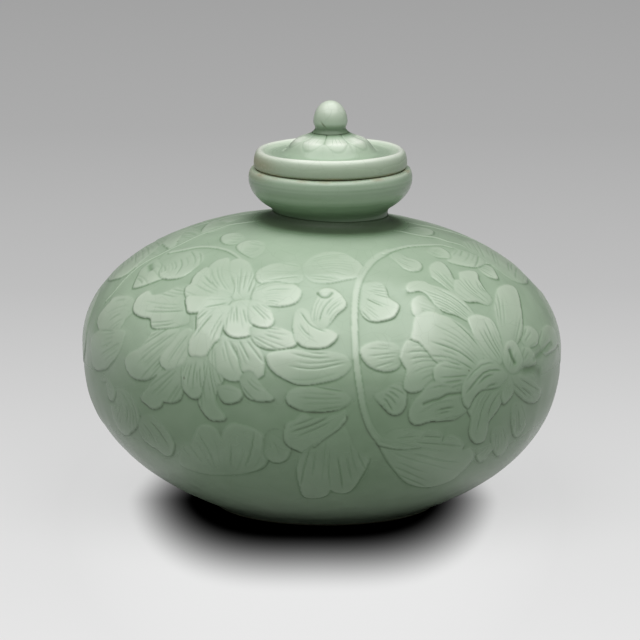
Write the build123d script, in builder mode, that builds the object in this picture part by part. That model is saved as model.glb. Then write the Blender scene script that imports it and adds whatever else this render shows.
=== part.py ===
from build123d import *
import math
import os

# Celadon oil bottle with a lift-off lid. Sizes are in millimetres.
# The origin is on the table plane, below the middle of the body.
# +Z is up and -Y is the front.

# Body
body_diameter = 120.0
equator_height = 40.3
shoulder_rise = 32.7
foot_radius = 26.4
body_lean = 1.7
shoulder_side_power = 2.18
shoulder_axis_power = 2.0
belly_side_power = 1.55
belly_axis_power = 2.5

# Hollow of the body
side_wall = 4.6
shoulder_wall = 4.4
floor_thickness = 4.8
hollow_side_power = 2.0
hollow_axis_power = 3.0

# Foot
foot_ring_width = 4.0
foot_recess_depth = 1.8
foot_bevel = 0.5

# Neck and cup-shaped mouth
neck_offset = 2.1
neck_root_radius = 14.5
neck_waist_radius = 14.3
neck_bore_radius = 9.0
neck_seat_depth = 0.2
collar_height = 13.5
waist_height = 2.5
flare_radius = 16.5
flare_height = 4.8
cup_radius = 20.4
cup_widest_height = 11.0
mouth_radius = 16.4
mouth_depth = 4.6
rim_land_width = 2.9
bore_shoulder_height = 2.0

# Lid
lid_radius = 19.05
lid_widest_height = 1.7
lid_rim_height = 4.8
lid_rim_width = 1.6
lid_edge_bevel = 0.45
dish_depth = 0.95
dish_floor_width = 3.2
dome_height = 8.9
dome_shoulder_radius = 9.1
dome_shoulder_height = 6.9
lid_hollow_rise = 3.4

# Ring below the lid
flange_clearance = 0.8
flange_width = 2.6
flange_depth = 4.0
flange_bevel = 0.4

# Knob
knob_base_radius = 4.6
knob_waist_radius = 3.85
knob_waist_height = 1.1
knob_radius = 4.3
knob_widest_height = 2.6
knob_height = 8.0
knob_land_margin = 0.1

# Carved peony scroll: the petals stand above a ground that is cut back this much.
carving_depth = 0.4
petal_gap = 0.35

# The outlines are read by eye off the photograph, in places of its 640 x 640 image.
image_middle = 320
image_scale = 4.01
camera_distance = 1500
camera_elevation = 11.5
camera_aim_x = -0.49
camera_aim_z = 46.15

leaf_spray_left = [
    [(170, 247), (162, 239), (176, 228), (200, 231), (190, 238)],
    [(158, 252), (148, 246), (134, 254), (128, 263), (145, 262)],
    [(158, 257), (162, 274), (133, 286), (137, 274), (148, 262)],
    [(168, 251), (201, 252), (199, 262), (178, 276), (161, 275), (161, 260)],
    [(238, 244), (258, 240), (262, 250), (252, 256)],
]
flower_left = [
    [(209, 281), (210, 265), (228, 258), (228, 271), (230, 293), (217, 288)],
    [(186, 288), (194, 276), (207, 267), (213, 286), (228, 294), (200, 295)],
    [(187, 299), (228, 297), (223, 304), (200, 311), (188, 308)],
    [(134, 307), (142, 293), (167, 291), (186, 287), (187, 319), (155, 327), (149, 316)],
    [(199, 314), (228, 305), (222, 325), (208, 349), (197, 357), (189, 348), (194, 333)],
    [(126, 361), (153, 331), (177, 330), (162, 354), (159, 370), (134, 377)],
    [(163, 363), (163, 354), (183, 331), (189, 331), (188, 359), (170, 370)],
    [(207, 354), (218, 338), (228, 338), (241, 367), (238, 379), (222, 376)],
    [(231, 338), (249, 337), (262, 361), (261, 375), (245, 371)],
    [(231, 263), (243, 260), (253, 274), (250, 296), (240, 300), (231, 287)],
    [(232, 303), (248, 301), (250, 330), (239, 336), (225, 327)],
    [(100, 328), (110, 300), (130, 298), (131, 310), (116, 329)],
    [(252, 295), (262, 283), (290, 282), (299, 291), (285, 303), (260, 301)],
    [(251, 304), (258, 301), (272, 316), (268, 326), (251, 318)],
    [(251, 328), (270, 327), (295, 338), (292, 346), (262, 348), (252, 338)],
]
middle_leaves = [
    [(305, 264), (320, 253), (347, 253), (361, 267), (350, 277), (320, 281), (307, 274)],
    [(364, 283), (384, 286), (398, 305), (390, 317), (368, 317), (362, 303)],
    [(295, 313), (305, 310), (318, 327), (336, 336), (322, 346), (301, 344)],
    [(314, 310), (322, 290), (337, 291), (345, 303), (325, 327), (315, 321)],
    [(268, 358), (290, 350), (345, 356), (348, 368), (302, 384), (275, 372)],
]
leaves_low_left = [
    [(147, 389), (165, 372), (182, 367), (180, 396), (164, 402), (149, 406), (142, 398)],
    [(206, 360), (221, 379), (215, 396), (223, 417), (208, 418), (199, 401), (204, 376)],
    [(184, 366), (205, 359), (201, 386), (193, 398), (183, 387)],
    [(111, 400), (119, 390), (131, 398), (138, 418), (127, 434), (116, 425)],
    [(140, 419), (152, 417), (172, 443), (168, 455), (148, 445)],
    [(181, 464), (184, 447), (199, 429), (212, 428), (236, 427), (264, 440), (262, 467), (222, 476)],
]
leaves_low_middle = [
    [(286, 429), (303, 416), (344, 413), (333, 431), (313, 450), (288, 444)],
    [(303, 455), (342, 428), (353, 448), (367, 462), (352, 490), (318, 498), (301, 484)],
    [(381, 442), (420, 441), (434, 432), (470, 449), (466, 468), (430, 487), (395, 468)],
    [(377, 396), (395, 385), (404, 389), (404, 406), (392, 413)],
]
flower_right = [
    [(432, 267), (443, 263), (465, 296), (448, 287), (434, 276)],
    [(457, 288), (462, 273), (477, 273), (491, 298), (477, 300)],
    [(495, 299), (504, 285), (517, 290), (519, 315), (505, 314)],
    [(410, 289), (415, 282), (440, 288), (471, 309), (480, 328), (448, 310), (428, 292)],
    [(414, 335), (418, 318), (440, 315), (471, 335), (482, 358), (468, 369), (443, 361), (426, 347)],
    [(472, 319), (486, 317), (500, 340), (504, 356), (489, 358), (477, 340)],
    [(437, 378), (440, 366), (463, 366), (470, 374), (463, 391), (443, 387)],
    [(412, 417), (421, 397), (438, 384), (463, 395), (468, 407), (455, 418), (422, 423)],
    [(470, 376), (486, 361), (507, 374), (500, 385), (480, 390), (469, 405), (465, 386)],
    [(472, 407), (482, 394), (500, 393), (500, 406), (488, 421), (480, 442), (472, 430)],
    [(519, 382), (530, 379), (539, 391), (533, 400), (521, 394)],
    [(404, 348), (423, 345), (441, 362), (434, 380), (414, 390), (406, 378), (407, 368)],
]
leaf_spray_right = [
    [(392, 255), (401, 253), (420, 263), (411, 269), (399, 261)],
    [(450, 258), (459, 250), (489, 260), (470, 265), (457, 262)],
]
# Between the front and back groups, in millimetres across and up from the middle of the body's side.
side_leaves = [
    [(-12, 20), (-6, 26), (5, 25), (11, 20), (3, 17), (-7, 17)],
    [(-10, 3), (-4, 13), (6, 12), (11, 3), (3, -4), (-6, -3)],
    [(-11, -9), (-3, -7), (9, -12), (7, -19), (-4, -21), (-10, -15)],
]

curve_steps = 10


def superellipse_point(angle, radius, rise, side_power, axis_power):
    """Point at an angle up from the widest level, as radius and rise."""
    along = max(math.cos(math.radians(angle)), 0.0)
    up = max(math.sin(math.radians(angle)), 0.0)
    return radius * along ** (2.0 / side_power), rise * up ** (2.0 / axis_power)


def superellipse_curve(first, last, radius, rise, side_power, axis_power, upward):
    """Points between two angles, upward 1 above the widest level and -1 below it."""
    points = []
    for step in range(curve_steps + 1):
        angle = first + (last - first) * step / curve_steps
        r, h = superellipse_point(angle, radius, rise, side_power, axis_power)
        points.append((r, upward * h))
    return points


def end_direction(points):
    """Direction in which a row of points ends, bent on by its last turn."""
    before, middle, last = (Vector(*point) for point in points[-3:])
    return 1.5 * (last - middle) - 0.5 * (middle - before)


# The body leans a little, so its left shoulder stands higher than its right one.
lean = math.radians(body_lean)
lean_axis_dir = (math.sin(lean), 0, math.cos(lean))
lean_x_dir = (math.cos(lean), 0, -math.sin(lean))
profile_plane = Plane(origin=(0, 0, equator_height), x_dir=lean_x_dir, z_dir=(0, -1, 0))
lean_axis = Axis((0, 0, equator_height), lean_axis_dir)

body_radius = body_diameter / 2
belly_drop = equator_height / (
    1 - (foot_radius / body_radius) ** belly_side_power
) ** (1 / belly_axis_power)

# The belly curve runs on to inside the foot circle, and the foot plane trims it there.
belly_end_radius = 0.85 * foot_radius
belly_end_angle = math.degrees(
    math.acos((belly_end_radius / body_radius) ** (belly_side_power / 2))
)
hollow_radius = body_radius - side_wall
hollow_rise = shoulder_rise - shoulder_wall
hollow_floor_height = foot_recess_depth + floor_thickness
hollow_drop = equator_height - hollow_floor_height

# The neck stands on a flat seat just under the lower side of the shoulder round it.
neck_reach = neck_offset + neck_root_radius
shoulder_fall = (1 - (neck_reach / body_radius) ** shoulder_side_power) ** (1 / shoulder_axis_power)
shoulder_height = (
    equator_height
    + shoulder_rise * shoulder_fall * math.cos(lean)
    - neck_reach * math.sin(lean)
)
seat_height = shoulder_height - neck_seat_depth
rim_height = seat_height + collar_height
foot_center = -equator_height * math.tan(lean)



def body_face(depth):
    """Half of the body's upright section, with its outer side this far below the petals."""
    with BuildSketch(profile_plane) as half_section:
        with BuildLine():
            shoulder_points = superellipse_curve(
                90,
                0,
                body_radius - depth,
                shoulder_rise - depth,
                shoulder_side_power,
                shoulder_axis_power,
                1,
            )
            shoulder = Spline(shoulder_points, tangents=[(1, 0), (0, -1)])
            belly_points = superellipse_curve(
                0,
                belly_end_angle,
                body_radius - depth,
                belly_drop - depth,
                belly_side_power,
                belly_axis_power,
                -1,
            )
            belly = Spline(belly_points, tangents=[(0, -1), end_direction(belly_points)])
            close_base = Line(belly @ 1, (0, (belly @ 1).Y))
            close_axis = Line(close_base @ 1, shoulder @ 0)
        make_face()
    return half_section.sketch


def is_outside(point):
    """Whether a point lies outside the surface of the petals."""
    from_middle = point - Vector(0, 0, equator_height)
    height = from_middle.dot(Vector(*lean_axis_dir))
    across = (from_middle - Vector(*lean_axis_dir) * height).length / body_radius
    if height > 0:
        bulge = across**shoulder_side_power + (height / shoulder_rise) ** shoulder_axis_power
    else:
        bulge = across**belly_side_power + (-height / belly_drop) ** belly_axis_power
    return bulge > 1


elevation = math.radians(camera_elevation)
toward_camera = Vector(0, -math.cos(elevation), math.sin(elevation))
view_plane = Plane(origin=(0, 0, equator_height), x_dir=(1, 0, 0), z_dir=toward_camera)
camera_place = Vector(camera_aim_x, 0, camera_aim_z) + toward_camera * camera_distance
image_up = Vector(0, math.sin(elevation), math.cos(elevation))


def seen_point(place):
    """Place in the view plane of the body's point that the camera sees at a place of the image."""
    across = (place[0] - image_middle) / (image_scale * camera_distance)
    upward = (image_middle - place[1]) / (image_scale * camera_distance)
    ray = Vector(across, 0, 0) + image_up * upward - toward_camera
    near = camera_distance - body_diameter
    while is_outside(camera_place + ray * (near + 0.5)) and near < camera_distance:
        near += 0.5
    far = near + 0.5
    for halving in range(12):
        middle = (near + far) / 2
        if is_outside(camera_place + ray * middle):
            near = middle
        else:
            far = middle
    found = view_plane.to_local_coords(camera_place + ray * far)
    return found.X, found.Y


def drawn_in(points):
    """An outline made smaller by the gap that is left between neighbouring petals."""
    middle = sum((Vector(*point) for point in points), Vector(0, 0)) / len(points)
    smaller = []
    for point in points:
        inward = middle - Vector(*point)
        smaller.append(Vector(*point) + inward.normalized() * petal_gap)
    return smaller


# Petals run from inside the wall out to the body's full size.
petal_groups = [
    leaf_spray_left,
    flower_left,
    middle_leaves,
    leaves_low_left,
    leaves_low_middle,
    flower_right,
    leaf_spray_right,
]
with BuildPart() as front_petals:
    with BuildSketch(view_plane):
        for group in petal_groups:
            for outline in group:
                with BuildLine():
                    Spline(drawn_in([seen_point(place) for place in outline]), periodic=True)
                make_face()
    extrude(amount=body_diameter)
    add(revolve(body_face(0), axis=lean_axis, mode=Mode.PRIVATE), mode=Mode.INTERSECT)

side_plane = Plane(origin=(0, 0, equator_height), x_dir=(0, 1, 0), z_dir=(1, 0, 0))
with BuildPart() as side_petals:
    with BuildSketch(side_plane):
        for outline in side_leaves:
            with BuildLine():
                Spline(outline, periodic=True)
            make_face()
    extrude(amount=body_diameter)
    add(revolve(body_face(0), axis=lean_axis, mode=Mode.PRIVATE), mode=Mode.INTERSECT)

with BuildPart() as bottle_body:
    add(body_face(carving_depth))
    revolve(axis=lean_axis)
    for petals in (front_petals.part, side_petals.part):
        add(petals)
        add(petals.rotate(lean_axis, 180))
    split(bisect_by=Plane.XY, keep=Keep.TOP)
    with BuildSketch(profile_plane):
        with BuildLine():
            roof = Spline(
                superellipse_curve(
                    90, 0, hollow_radius, hollow_rise, shoulder_side_power, shoulder_axis_power, 1
                ),
                tangents=[(1, 0), (0, -1)],
            )
            bowl = Spline(
                superellipse_curve(
                    0, 90, hollow_radius, hollow_drop, hollow_side_power, hollow_axis_power, -1
                ),
                tangents=[(0, -1), (-1, 0)],
            )
            close_hollow = Line(bowl @ 1, roof @ 0)
        make_face()
    revolve(axis=lean_axis, mode=Mode.SUBTRACT)
    with Locations((neck_offset, 0, seat_height)):
        Hole(radius=neck_bore_radius, depth=seat_height - equator_height)
    with BuildSketch(Plane.XY.offset(seat_height)):
        with Locations((neck_offset, 0)):
            Circle(neck_root_radius)
    extrude(amount=shoulder_rise, mode=Mode.SUBTRACT)
    foot_edge = bottle_body.faces().sort_by(Axis.Z)[0].outer_wire().edges()
    chamfer(foot_edge, foot_bevel)
    with BuildSketch(Plane.XY):
        with Locations((foot_center, 0)):
            Circle(foot_radius - foot_ring_width)
    extrude(amount=foot_recess_depth, mode=Mode.SUBTRACT)
bottle_body.part.label = "bottle_body"

neck_plane = Plane(origin=(neck_offset, 0, seat_height), x_dir=(1, 0, 0), z_dir=(0, -1, 0))
neck_axis = Axis((neck_offset, 0, 0), (0, 0, 1))

with BuildPart() as mouth_collar:
    with BuildSketch(neck_plane):
        with BuildLine():
            root = Line((neck_bore_radius, 0), (neck_root_radius, 0))
            neck = Spline(
                [root @ 1, (neck_waist_radius, waist_height)],
                tangents=[(neck_waist_radius - neck_root_radius, waist_height), (0, 1)],
            )
            flare = Spline(
                [neck @ 1, (flare_radius, flare_height), (cup_radius, cup_widest_height)],
                tangents=[(0, 1), (0, 1)],
            )
            rim_edge = (mouth_radius + rim_land_width, collar_height)
            lip = Spline([flare @ 1, rim_edge], tangents=[(0, 1), (-1, 0)])
            land = Line(lip @ 1, (mouth_radius, collar_height))
            mouth = Line(land @ 1, (mouth_radius, collar_height - mouth_depth))
            throat = Spline(
                [mouth @ 1, (neck_bore_radius, bore_shoulder_height)],
                tangents=[(0, -1), (0, -1)],
            )
            bore = Line(throat @ 1, root @ 0)
        make_face()
    revolve(axis=neck_axis)
mouth_collar.part.label = "mouth_collar"

lid_plane = Plane(origin=(neck_offset, 0, rim_height), x_dir=(1, 0, 0), z_dir=(0, -1, 0))
flange_outer_radius = mouth_radius - flange_clearance
flange_inner_radius = flange_outer_radius - flange_width
dish_outer_radius = lid_radius - 2 * lid_rim_width
dish_inner_radius = dish_outer_radius - dish_floor_width
dish_height = lid_rim_height - dish_depth
dome_land_radius = knob_base_radius + knob_land_margin

with BuildPart() as lid_cover:
    with BuildSketch(lid_plane):
        with BuildLine():
            seat = Line((flange_inner_radius, 0), (lid_radius - 1.3 * lid_edge_bevel, 0))
            bevel = Line(seat @ 1, (lid_radius - 0.2 * lid_edge_bevel, lid_edge_bevel))
            wall = Spline(
                [
                    bevel @ 1,
                    (lid_radius, lid_widest_height),
                    (lid_radius - lid_rim_width, lid_rim_height),
                ],
                tangents=[(0.3, 1), (-1, 0)],
            )
            rim = Spline(
                [wall @ 1, (dish_outer_radius, dish_height)],
                tangents=[(-1, 0), (-1, 0)],
            )
            dish = Line(rim @ 1, (dish_inner_radius, dish_height))
            dome = Spline(
                [
                    dish @ 1,
                    (dome_shoulder_radius, dome_shoulder_height),
                    (dome_land_radius, dome_height),
                ],
                tangents=[(-1, 0), (-0.9, 0.7)],
            )
            knob_land = Line(dome @ 1, (0, dome_height))
            axis_side = Line(knob_land @ 1, (0, lid_hollow_rise))
            hollow = Spline(
                [axis_side @ 1, (flange_inner_radius, 0)],
                tangents=[(1, 0), (0, -1)],
            )
        make_face()
    revolve(axis=neck_axis)
lid_cover.part.label = "lid_cover"

with BuildPart() as lid_flange:
    with BuildSketch(Plane.XY.offset(rim_height)):
        with Locations((neck_offset, 0)):
            Circle(flange_outer_radius)
            Circle(flange_inner_radius, mode=Mode.SUBTRACT)
    extrude(amount=-flange_depth)
    lower_edges = lid_flange.faces().sort_by(Axis.Z)[0].edges()
    chamfer(lower_edges, flange_bevel)
lid_flange.part.label = "lid_flange"

knob_plane = Plane(
    origin=(neck_offset, 0, rim_height + dome_height), x_dir=(1, 0, 0), z_dir=(0, -1, 0)
)

with BuildPart() as lid_knob:
    with BuildSketch(knob_plane):
        with BuildLine():
            base = Line((0, 0), (knob_base_radius, 0))
            stem = Spline(
                [base @ 1, (knob_waist_radius, knob_waist_height)],
                tangents=[(-0.6, 1), (0, 1)],
            )
            cheek = Spline(
                [stem @ 1, (knob_radius, knob_widest_height)],
                tangents=[(0, 1), (0, 1)],
            )
            bud_points = []
            bud_rise = knob_height - knob_widest_height
            for step in range(curve_steps + 1):
                r, h = superellipse_point(90 * step / curve_steps, knob_radius, bud_rise, 2, 2)
                bud_points.append((r, knob_widest_height + h))
            bud = Spline(bud_points, tangents=[(0, 1), (-1, 0)])
            bud_axis = Line(bud @ 1, base @ 0)
        make_face()
    revolve(axis=neck_axis)
lid_knob.part.label = "lid_knob"

os.makedirs("parts", exist_ok=True)
export_step(bottle_body.part, "parts/bottle_body.step")
export_step(mouth_collar.part, "parts/mouth_collar.step")
export_step(lid_cover.part, "parts/lid_cover.step")
export_step(lid_flange.part, "parts/lid_flange.step")
export_step(lid_knob.part, "parts/lid_knob.step")

print("seat height", round(seat_height, 2))
print("rim height", round(rim_height, 2))
print("total height", round(rim_height + dome_height + knob_height, 2))
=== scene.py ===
import bpy
import math
import numpy as np
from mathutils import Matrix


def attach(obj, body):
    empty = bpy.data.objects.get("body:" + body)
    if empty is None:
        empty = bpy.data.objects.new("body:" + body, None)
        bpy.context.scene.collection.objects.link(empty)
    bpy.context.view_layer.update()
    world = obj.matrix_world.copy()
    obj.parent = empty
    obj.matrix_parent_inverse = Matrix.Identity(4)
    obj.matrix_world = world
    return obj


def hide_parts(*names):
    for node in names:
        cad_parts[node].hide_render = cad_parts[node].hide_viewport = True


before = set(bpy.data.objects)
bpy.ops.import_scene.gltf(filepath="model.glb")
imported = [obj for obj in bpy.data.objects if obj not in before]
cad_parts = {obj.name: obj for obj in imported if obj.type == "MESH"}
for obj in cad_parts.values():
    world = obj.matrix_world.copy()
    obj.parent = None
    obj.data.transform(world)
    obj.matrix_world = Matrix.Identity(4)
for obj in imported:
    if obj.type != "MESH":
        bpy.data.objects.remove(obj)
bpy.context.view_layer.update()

# Celadon oil bottle with a lift-off lid.
# Shapes are worked out in millimetres and go into the meshes in metres.
# The origin is on the table plane below the middle of the body, +Z is up and -Y is the front.

MM = 0.001
rng = np.random.default_rng(1146)

# Sizes of the CAD model
BODY_RADIUS = 60.0
EQUATOR = 40.3
RISE = 32.7
FOOT_RADIUS = 26.4
LEAN = math.radians(1.7)
SIDE_UP, AXIS_UP = 2.18, 2.0
SIDE_DOWN, AXIS_DOWN = 1.55, 2.5
DROP = EQUATOR / (1 - (FOOT_RADIUS / BODY_RADIUS) ** SIDE_DOWN) ** (1 / AXIS_DOWN)
HOLLOW_RADIUS, HOLLOW_RISE, HOLLOW_DROP = 55.4, 28.3, 33.7
NECK_X = 2.1
SEAT = 71.28
RIM = 84.78
BORE = 9.0
FOOT_X = -EQUATOR * math.tan(LEAN)
NECK_ROOT, NECK_WAIST, WAIST_HEIGHT = 14.5, 14.3, 2.5
FLARE, FLARE_HEIGHT = 16.5, 4.8
CUP_RADIUS, CUP_WIDEST, COLLAR_HEIGHT = 20.4, 11.0, 13.5
MOUTH, MOUTH_FLOOR, RIM_LAND = 16.4, 8.9, 19.3
LID_RADIUS, LID_WIDEST, LID_RIM = 19.05, 1.7, 4.8
LID_RIM_WIDTH, LID_BEVEL, FLANGE_INNER = 1.6, 0.45, 13.0
DISH = LID_RIM - 0.95
DISH_OUTER = LID_RADIUS - 2 * LID_RIM_WIDTH
DISH_INNER = DISH_OUTER - 3.2
DOME_SHOULDER, DOME_SHOULDER_HEIGHT = 9.1, 6.9
DOME_LAND, DOME_TOP, LID_HOLLOW = 4.7, 8.9, 3.4
KNOB_BASE, KNOB_WAIST, KNOB_RADIUS = 4.6, 3.85, 4.3
KNOB_WAIST_HEIGHT, KNOB_WIDEST, KNOB_HEIGHT = 1.1, 2.6, 8.0

# Camera
CAMERA_DISTANCE = 1500.0
CAMERA_ELEVATION = math.radians(11.5)
TARGET_X, TARGET_Z = -0.49, 46.15
PIXELS_PER_MM = 4.01
IMAGE_SIZE = 640

# Relief, all depths in mm below the CAD surface
SKIN = 0.12
GROUND = -0.30
EDGE_CUT = 0.17
GROW = 0.35
CUT_WIDTH = 1.4
DEEPEST = -0.75

# Light
WORLD_LIGHT = 0.05
TOP_LIGHT = 31.0
FLOOR_BOUNCE = 0.65

AXIS = np.array([math.sin(LEAN), 0.0, math.cos(LEAN)])
SIDE = np.array([math.cos(LEAN), 0.0, -math.sin(LEAN)])
BACK = np.array([0.0, 1.0, 0.0])
CENTRE = np.array([0.0, 0.0, EQUATOR])


# ---------- geometry of the body ----------

def profile_table(radius, rise, drop, powers_up, powers_down, count):
    """Radius, height and length along the curve from the top pole to the bottom pole."""
    a = np.radians(np.linspace(90, 0, count))
    c, s = np.cos(a).clip(0), np.sin(a).clip(0)
    r = np.r_[radius * c ** (2 / powers_up[0]), radius * c[::-1][1:] ** (2 / powers_down[0])]
    h = np.r_[rise * s ** (2 / powers_up[1]), -drop * s[::-1][1:] ** (2 / powers_down[1])]
    length = np.r_[0, np.cumsum(np.hypot(np.diff(r), np.diff(h)))]
    return r, h, length


def place(r, h, phi):
    """Points of the leaning body from radius, height above its middle, and angle."""
    r, h, phi = np.broadcast_arrays(r, h, phi)
    return (CENTRE + (r * np.cos(phi))[..., None] * SIDE
            + (r * np.sin(phi))[..., None] * BACK + h[..., None] * AXIS)


def level(points):
    """Below 1 inside the body and above 1 outside it."""
    q = points - CENTRE
    h = q @ AXIS
    r = np.linalg.norm(q - h[..., None] * AXIS, axis=-1) / BODY_RADIUS
    up = r ** SIDE_UP + (np.abs(h) / RISE) ** AXIS_UP
    down = r ** SIDE_DOWN + (np.abs(h) / DROP) ** AXIS_DOWN
    return np.where(h > 0, up, down)


def outward(points):
    """Unit normals of the body near the points."""
    step = 0.05
    g = np.stack([level(points + step * e) - level(points - step * e) for e in np.eye(3)], axis=-1)
    return g / np.linalg.norm(g, axis=-1)[..., None]


def seen_at(pixels):
    """Points of the body that the camera sees at these places of the image."""
    pixels = np.asarray(pixels, float)
    se, ce = math.sin(CAMERA_ELEVATION), math.cos(CAMERA_ELEVATION)
    eye = np.array([TARGET_X, -CAMERA_DISTANCE * ce, TARGET_Z + CAMERA_DISTANCE * se])
    ahead, upward = np.array([0, ce, -se]), np.array([0, se, ce])
    across = (pixels[:, 0] - IMAGE_SIZE / 2) / (PIXELS_PER_MM * CAMERA_DISTANCE)
    rise = (IMAGE_SIZE / 2 - pixels[:, 1]) / (PIXELS_PER_MM * CAMERA_DISTANCE)
    ray = ahead + across[:, None] * np.array([1.0, 0, 0]) + rise[:, None] * upward
    depth = np.linspace(CAMERA_DISTANCE - 75, CAMERA_DISTANCE + 10, 341)
    f = level(eye + depth[None, :, None] * ray[:, None, :])
    hit = (f < 1).any(axis=1)
    first = np.where(hit, (f < 1).argmax(axis=1), f.argmin(axis=1))
    near, far = depth[np.maximum(first - 1, 0)], depth[first]
    for _ in range(18):
        mid = (near + far) / 2
        outside = level(eye + mid[:, None] * ray) > 1
        near = np.where(outside & hit, mid, near)
        far = np.where(outside & hit, far, mid)
    return eye + far[:, None] * ray


# ---------- relief: a field of depths over angle and length along the body ----------

COLUMNS = 1400
FIELD_ROWS = 600
body_r, body_h, body_len = profile_table(
    BODY_RADIUS, RISE, DROP, (SIDE_UP, AXIS_UP), (SIDE_DOWN, AXIS_DOWN), 3000)
field_len = np.linspace(9.0, body_len[-1] - 20.0, FIELD_ROWS)
field_step = field_len[1] - field_len[0]
field_r = np.interp(field_len, body_len, body_r)
field_h = np.interp(field_len, body_len, body_h)
phi = 2 * np.pi * np.arange(COLUMNS) / COLUMNS
field_points = place(field_r[:, None], field_h[:, None], phi[None, :])
relief = np.full((FIELD_ROWS, COLUMNS), GROUND)
petal = np.zeros((FIELD_ROWS, COLUMNS))
line = np.zeros((FIELD_ROWS, COLUMNS))
flat_points = field_points.reshape(-1, 3)
flat_relief = relief.reshape(-1)
flat_petal = petal.reshape(-1)
flat_line = line.reshape(-1)


def rounded(outline, closed=True, pieces=4):
    """A smooth line through the points of an outline."""
    p = np.asarray(outline, float)
    if closed:
        a, b, c, d = np.roll(p, 1, 0), p, np.roll(p, -1, 0), np.roll(p, -2, 0)
    else:
        ext = np.vstack([2 * p[0] - p[1], p, 2 * p[-1] - p[-2]])
        a, b, c, d = ext[:-3], ext[1:-2], ext[2:-1], ext[3:]
    out = []
    for k in range(pieces):
        t = k / pieces
        out.append(0.5 * (2 * b + (c - a) * t + (2 * a - 5 * b + 4 * c - d) * t ** 2
                          + (3 * b - a - 3 * c + d) * t ** 3))
    line = np.stack(out, axis=1).reshape(-1, 2)
    if not closed:
        line = np.vstack([line, p[-1]])
    return line


def along_line(uv, line):
    """Distance to a line, signed by side, the length along it there, its whole length, and above."""
    best = np.full(len(uv), 1e9)
    side = np.zeros(len(uv))
    run = np.zeros(len(uv))
    above = np.zeros(len(uv))
    start = 0.0
    last = len(line) - 2
    for i in range(len(line) - 1):
        a, ab = line[i], line[i + 1] - line[i]
        size = np.hypot(*ab) + 1e-9
        t = (uv - a) @ ab / size ** 2
        low = -1e3 if i == 0 else 0.0
        high = 1e3 if i == last else 1.0
        t = t.clip(low, high)
        gap = uv - a - t[:, None] * ab
        dist = np.hypot(gap[:, 0], gap[:, 1])
        near = dist < best
        best = np.where(near, dist, best)
        side = np.where(near, np.sign(ab[0] * gap[:, 1] - ab[1] * gap[:, 0]), side)
        run = np.where(near, start + t * size, run)
        above = np.where(near, gap[:, 1] / (dist + 1e-9), above)
        start += size
    return best * side, run, start, above


def inside_distance(uv, ring):
    """Distance to a closed outline, positive inside it, and above: 1 over the outline, -1 under it."""
    best = np.full(len(uv), 1e9)
    odd = np.zeros(len(uv), bool)
    above = np.zeros(len(uv))
    for a, b in zip(ring, np.roll(ring, -1, 0)):
        ab = b - a
        t = ((uv - a) @ ab / (ab @ ab + 1e-12)).clip(0, 1)
        gap = uv - a - t[:, None] * ab
        size = gap[:, 0] ** 2 + gap[:, 1] ** 2
        above = np.where(size < best, gap[:, 1] / np.sqrt(size + 1e-12), above)
        best = np.minimum(best, size)
        spans = (a[1] > uv[:, 1]) != (b[1] > uv[:, 1])
        cross = (b[0] - a[0]) * (uv[:, 1] - a[1]) / (b[1] - a[1] + 1e-12) + a[0]
        odd ^= spans & (uv[:, 0] < cross)
    return np.where(odd, 1, -1) * np.sqrt(best), np.where(odd, -above, above)


def chart(points3, margin):
    """Flat map of the body round some points: the field places in reach and their coordinates."""
    middle = points3.mean(axis=0)
    reach = np.linalg.norm(points3 - middle, axis=1).max() + margin
    normal = outward(middle[None, :])[0]
    right = np.cross([0, 0, 1.0], normal)
    right /= np.linalg.norm(right)
    up = np.cross(normal, right)
    near = np.flatnonzero((np.abs(flat_points - middle) < reach).all(axis=1))
    gap = flat_points[near] - middle
    near = near[(np.abs(gap @ right) < reach) & (np.abs(gap @ up) < reach) & (gap @ normal > -reach * 0.8)]
    gap = flat_points[near] - middle
    uv = np.stack([gap @ right, gap @ up], axis=1)

    def to_map(p3):
        return np.stack([(p3 - middle) @ right, (p3 - middle) @ up], axis=1)

    return near, uv, to_map


def combed(offset, run, length, gap, spread, strength):
    """Depth of hand-cut lines that follow a guide, wider apart towards its end."""
    s = (run / length).clip(0.02, 1.3)
    local = 1.25 * gap * (1 - spread + spread * s * 1.25)
    phase = offset / local + rng.uniform(-0.3, 0.3)
    index = np.round(phase).astype(int)
    low = index.min()
    n = index.max() - low + 1
    shift, power = rng.uniform(-0.26, 0.26, n), rng.uniform(0.15, 1.0, n)
    begin, end = rng.uniform(0.0, 0.30, n), rng.uniform(0.62, 0.97, n)
    power = np.where(power < 0.3, 0.0, power)
    k = index - low
    wave = 0.04 * np.sin(run * 0.5 + k * 2.1)
    away = (phase - index - shift[k] - wave) * local
    fade = ((s - begin[k]) / 0.12).clip(0, 1) * ((end[k] - s) / 0.16).clip(0, 1)
    width = 0.11 + 0.05 * power[k]
    return strength * power[k] * fade * np.exp(-(away / width) ** 2)


forms = []


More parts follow.
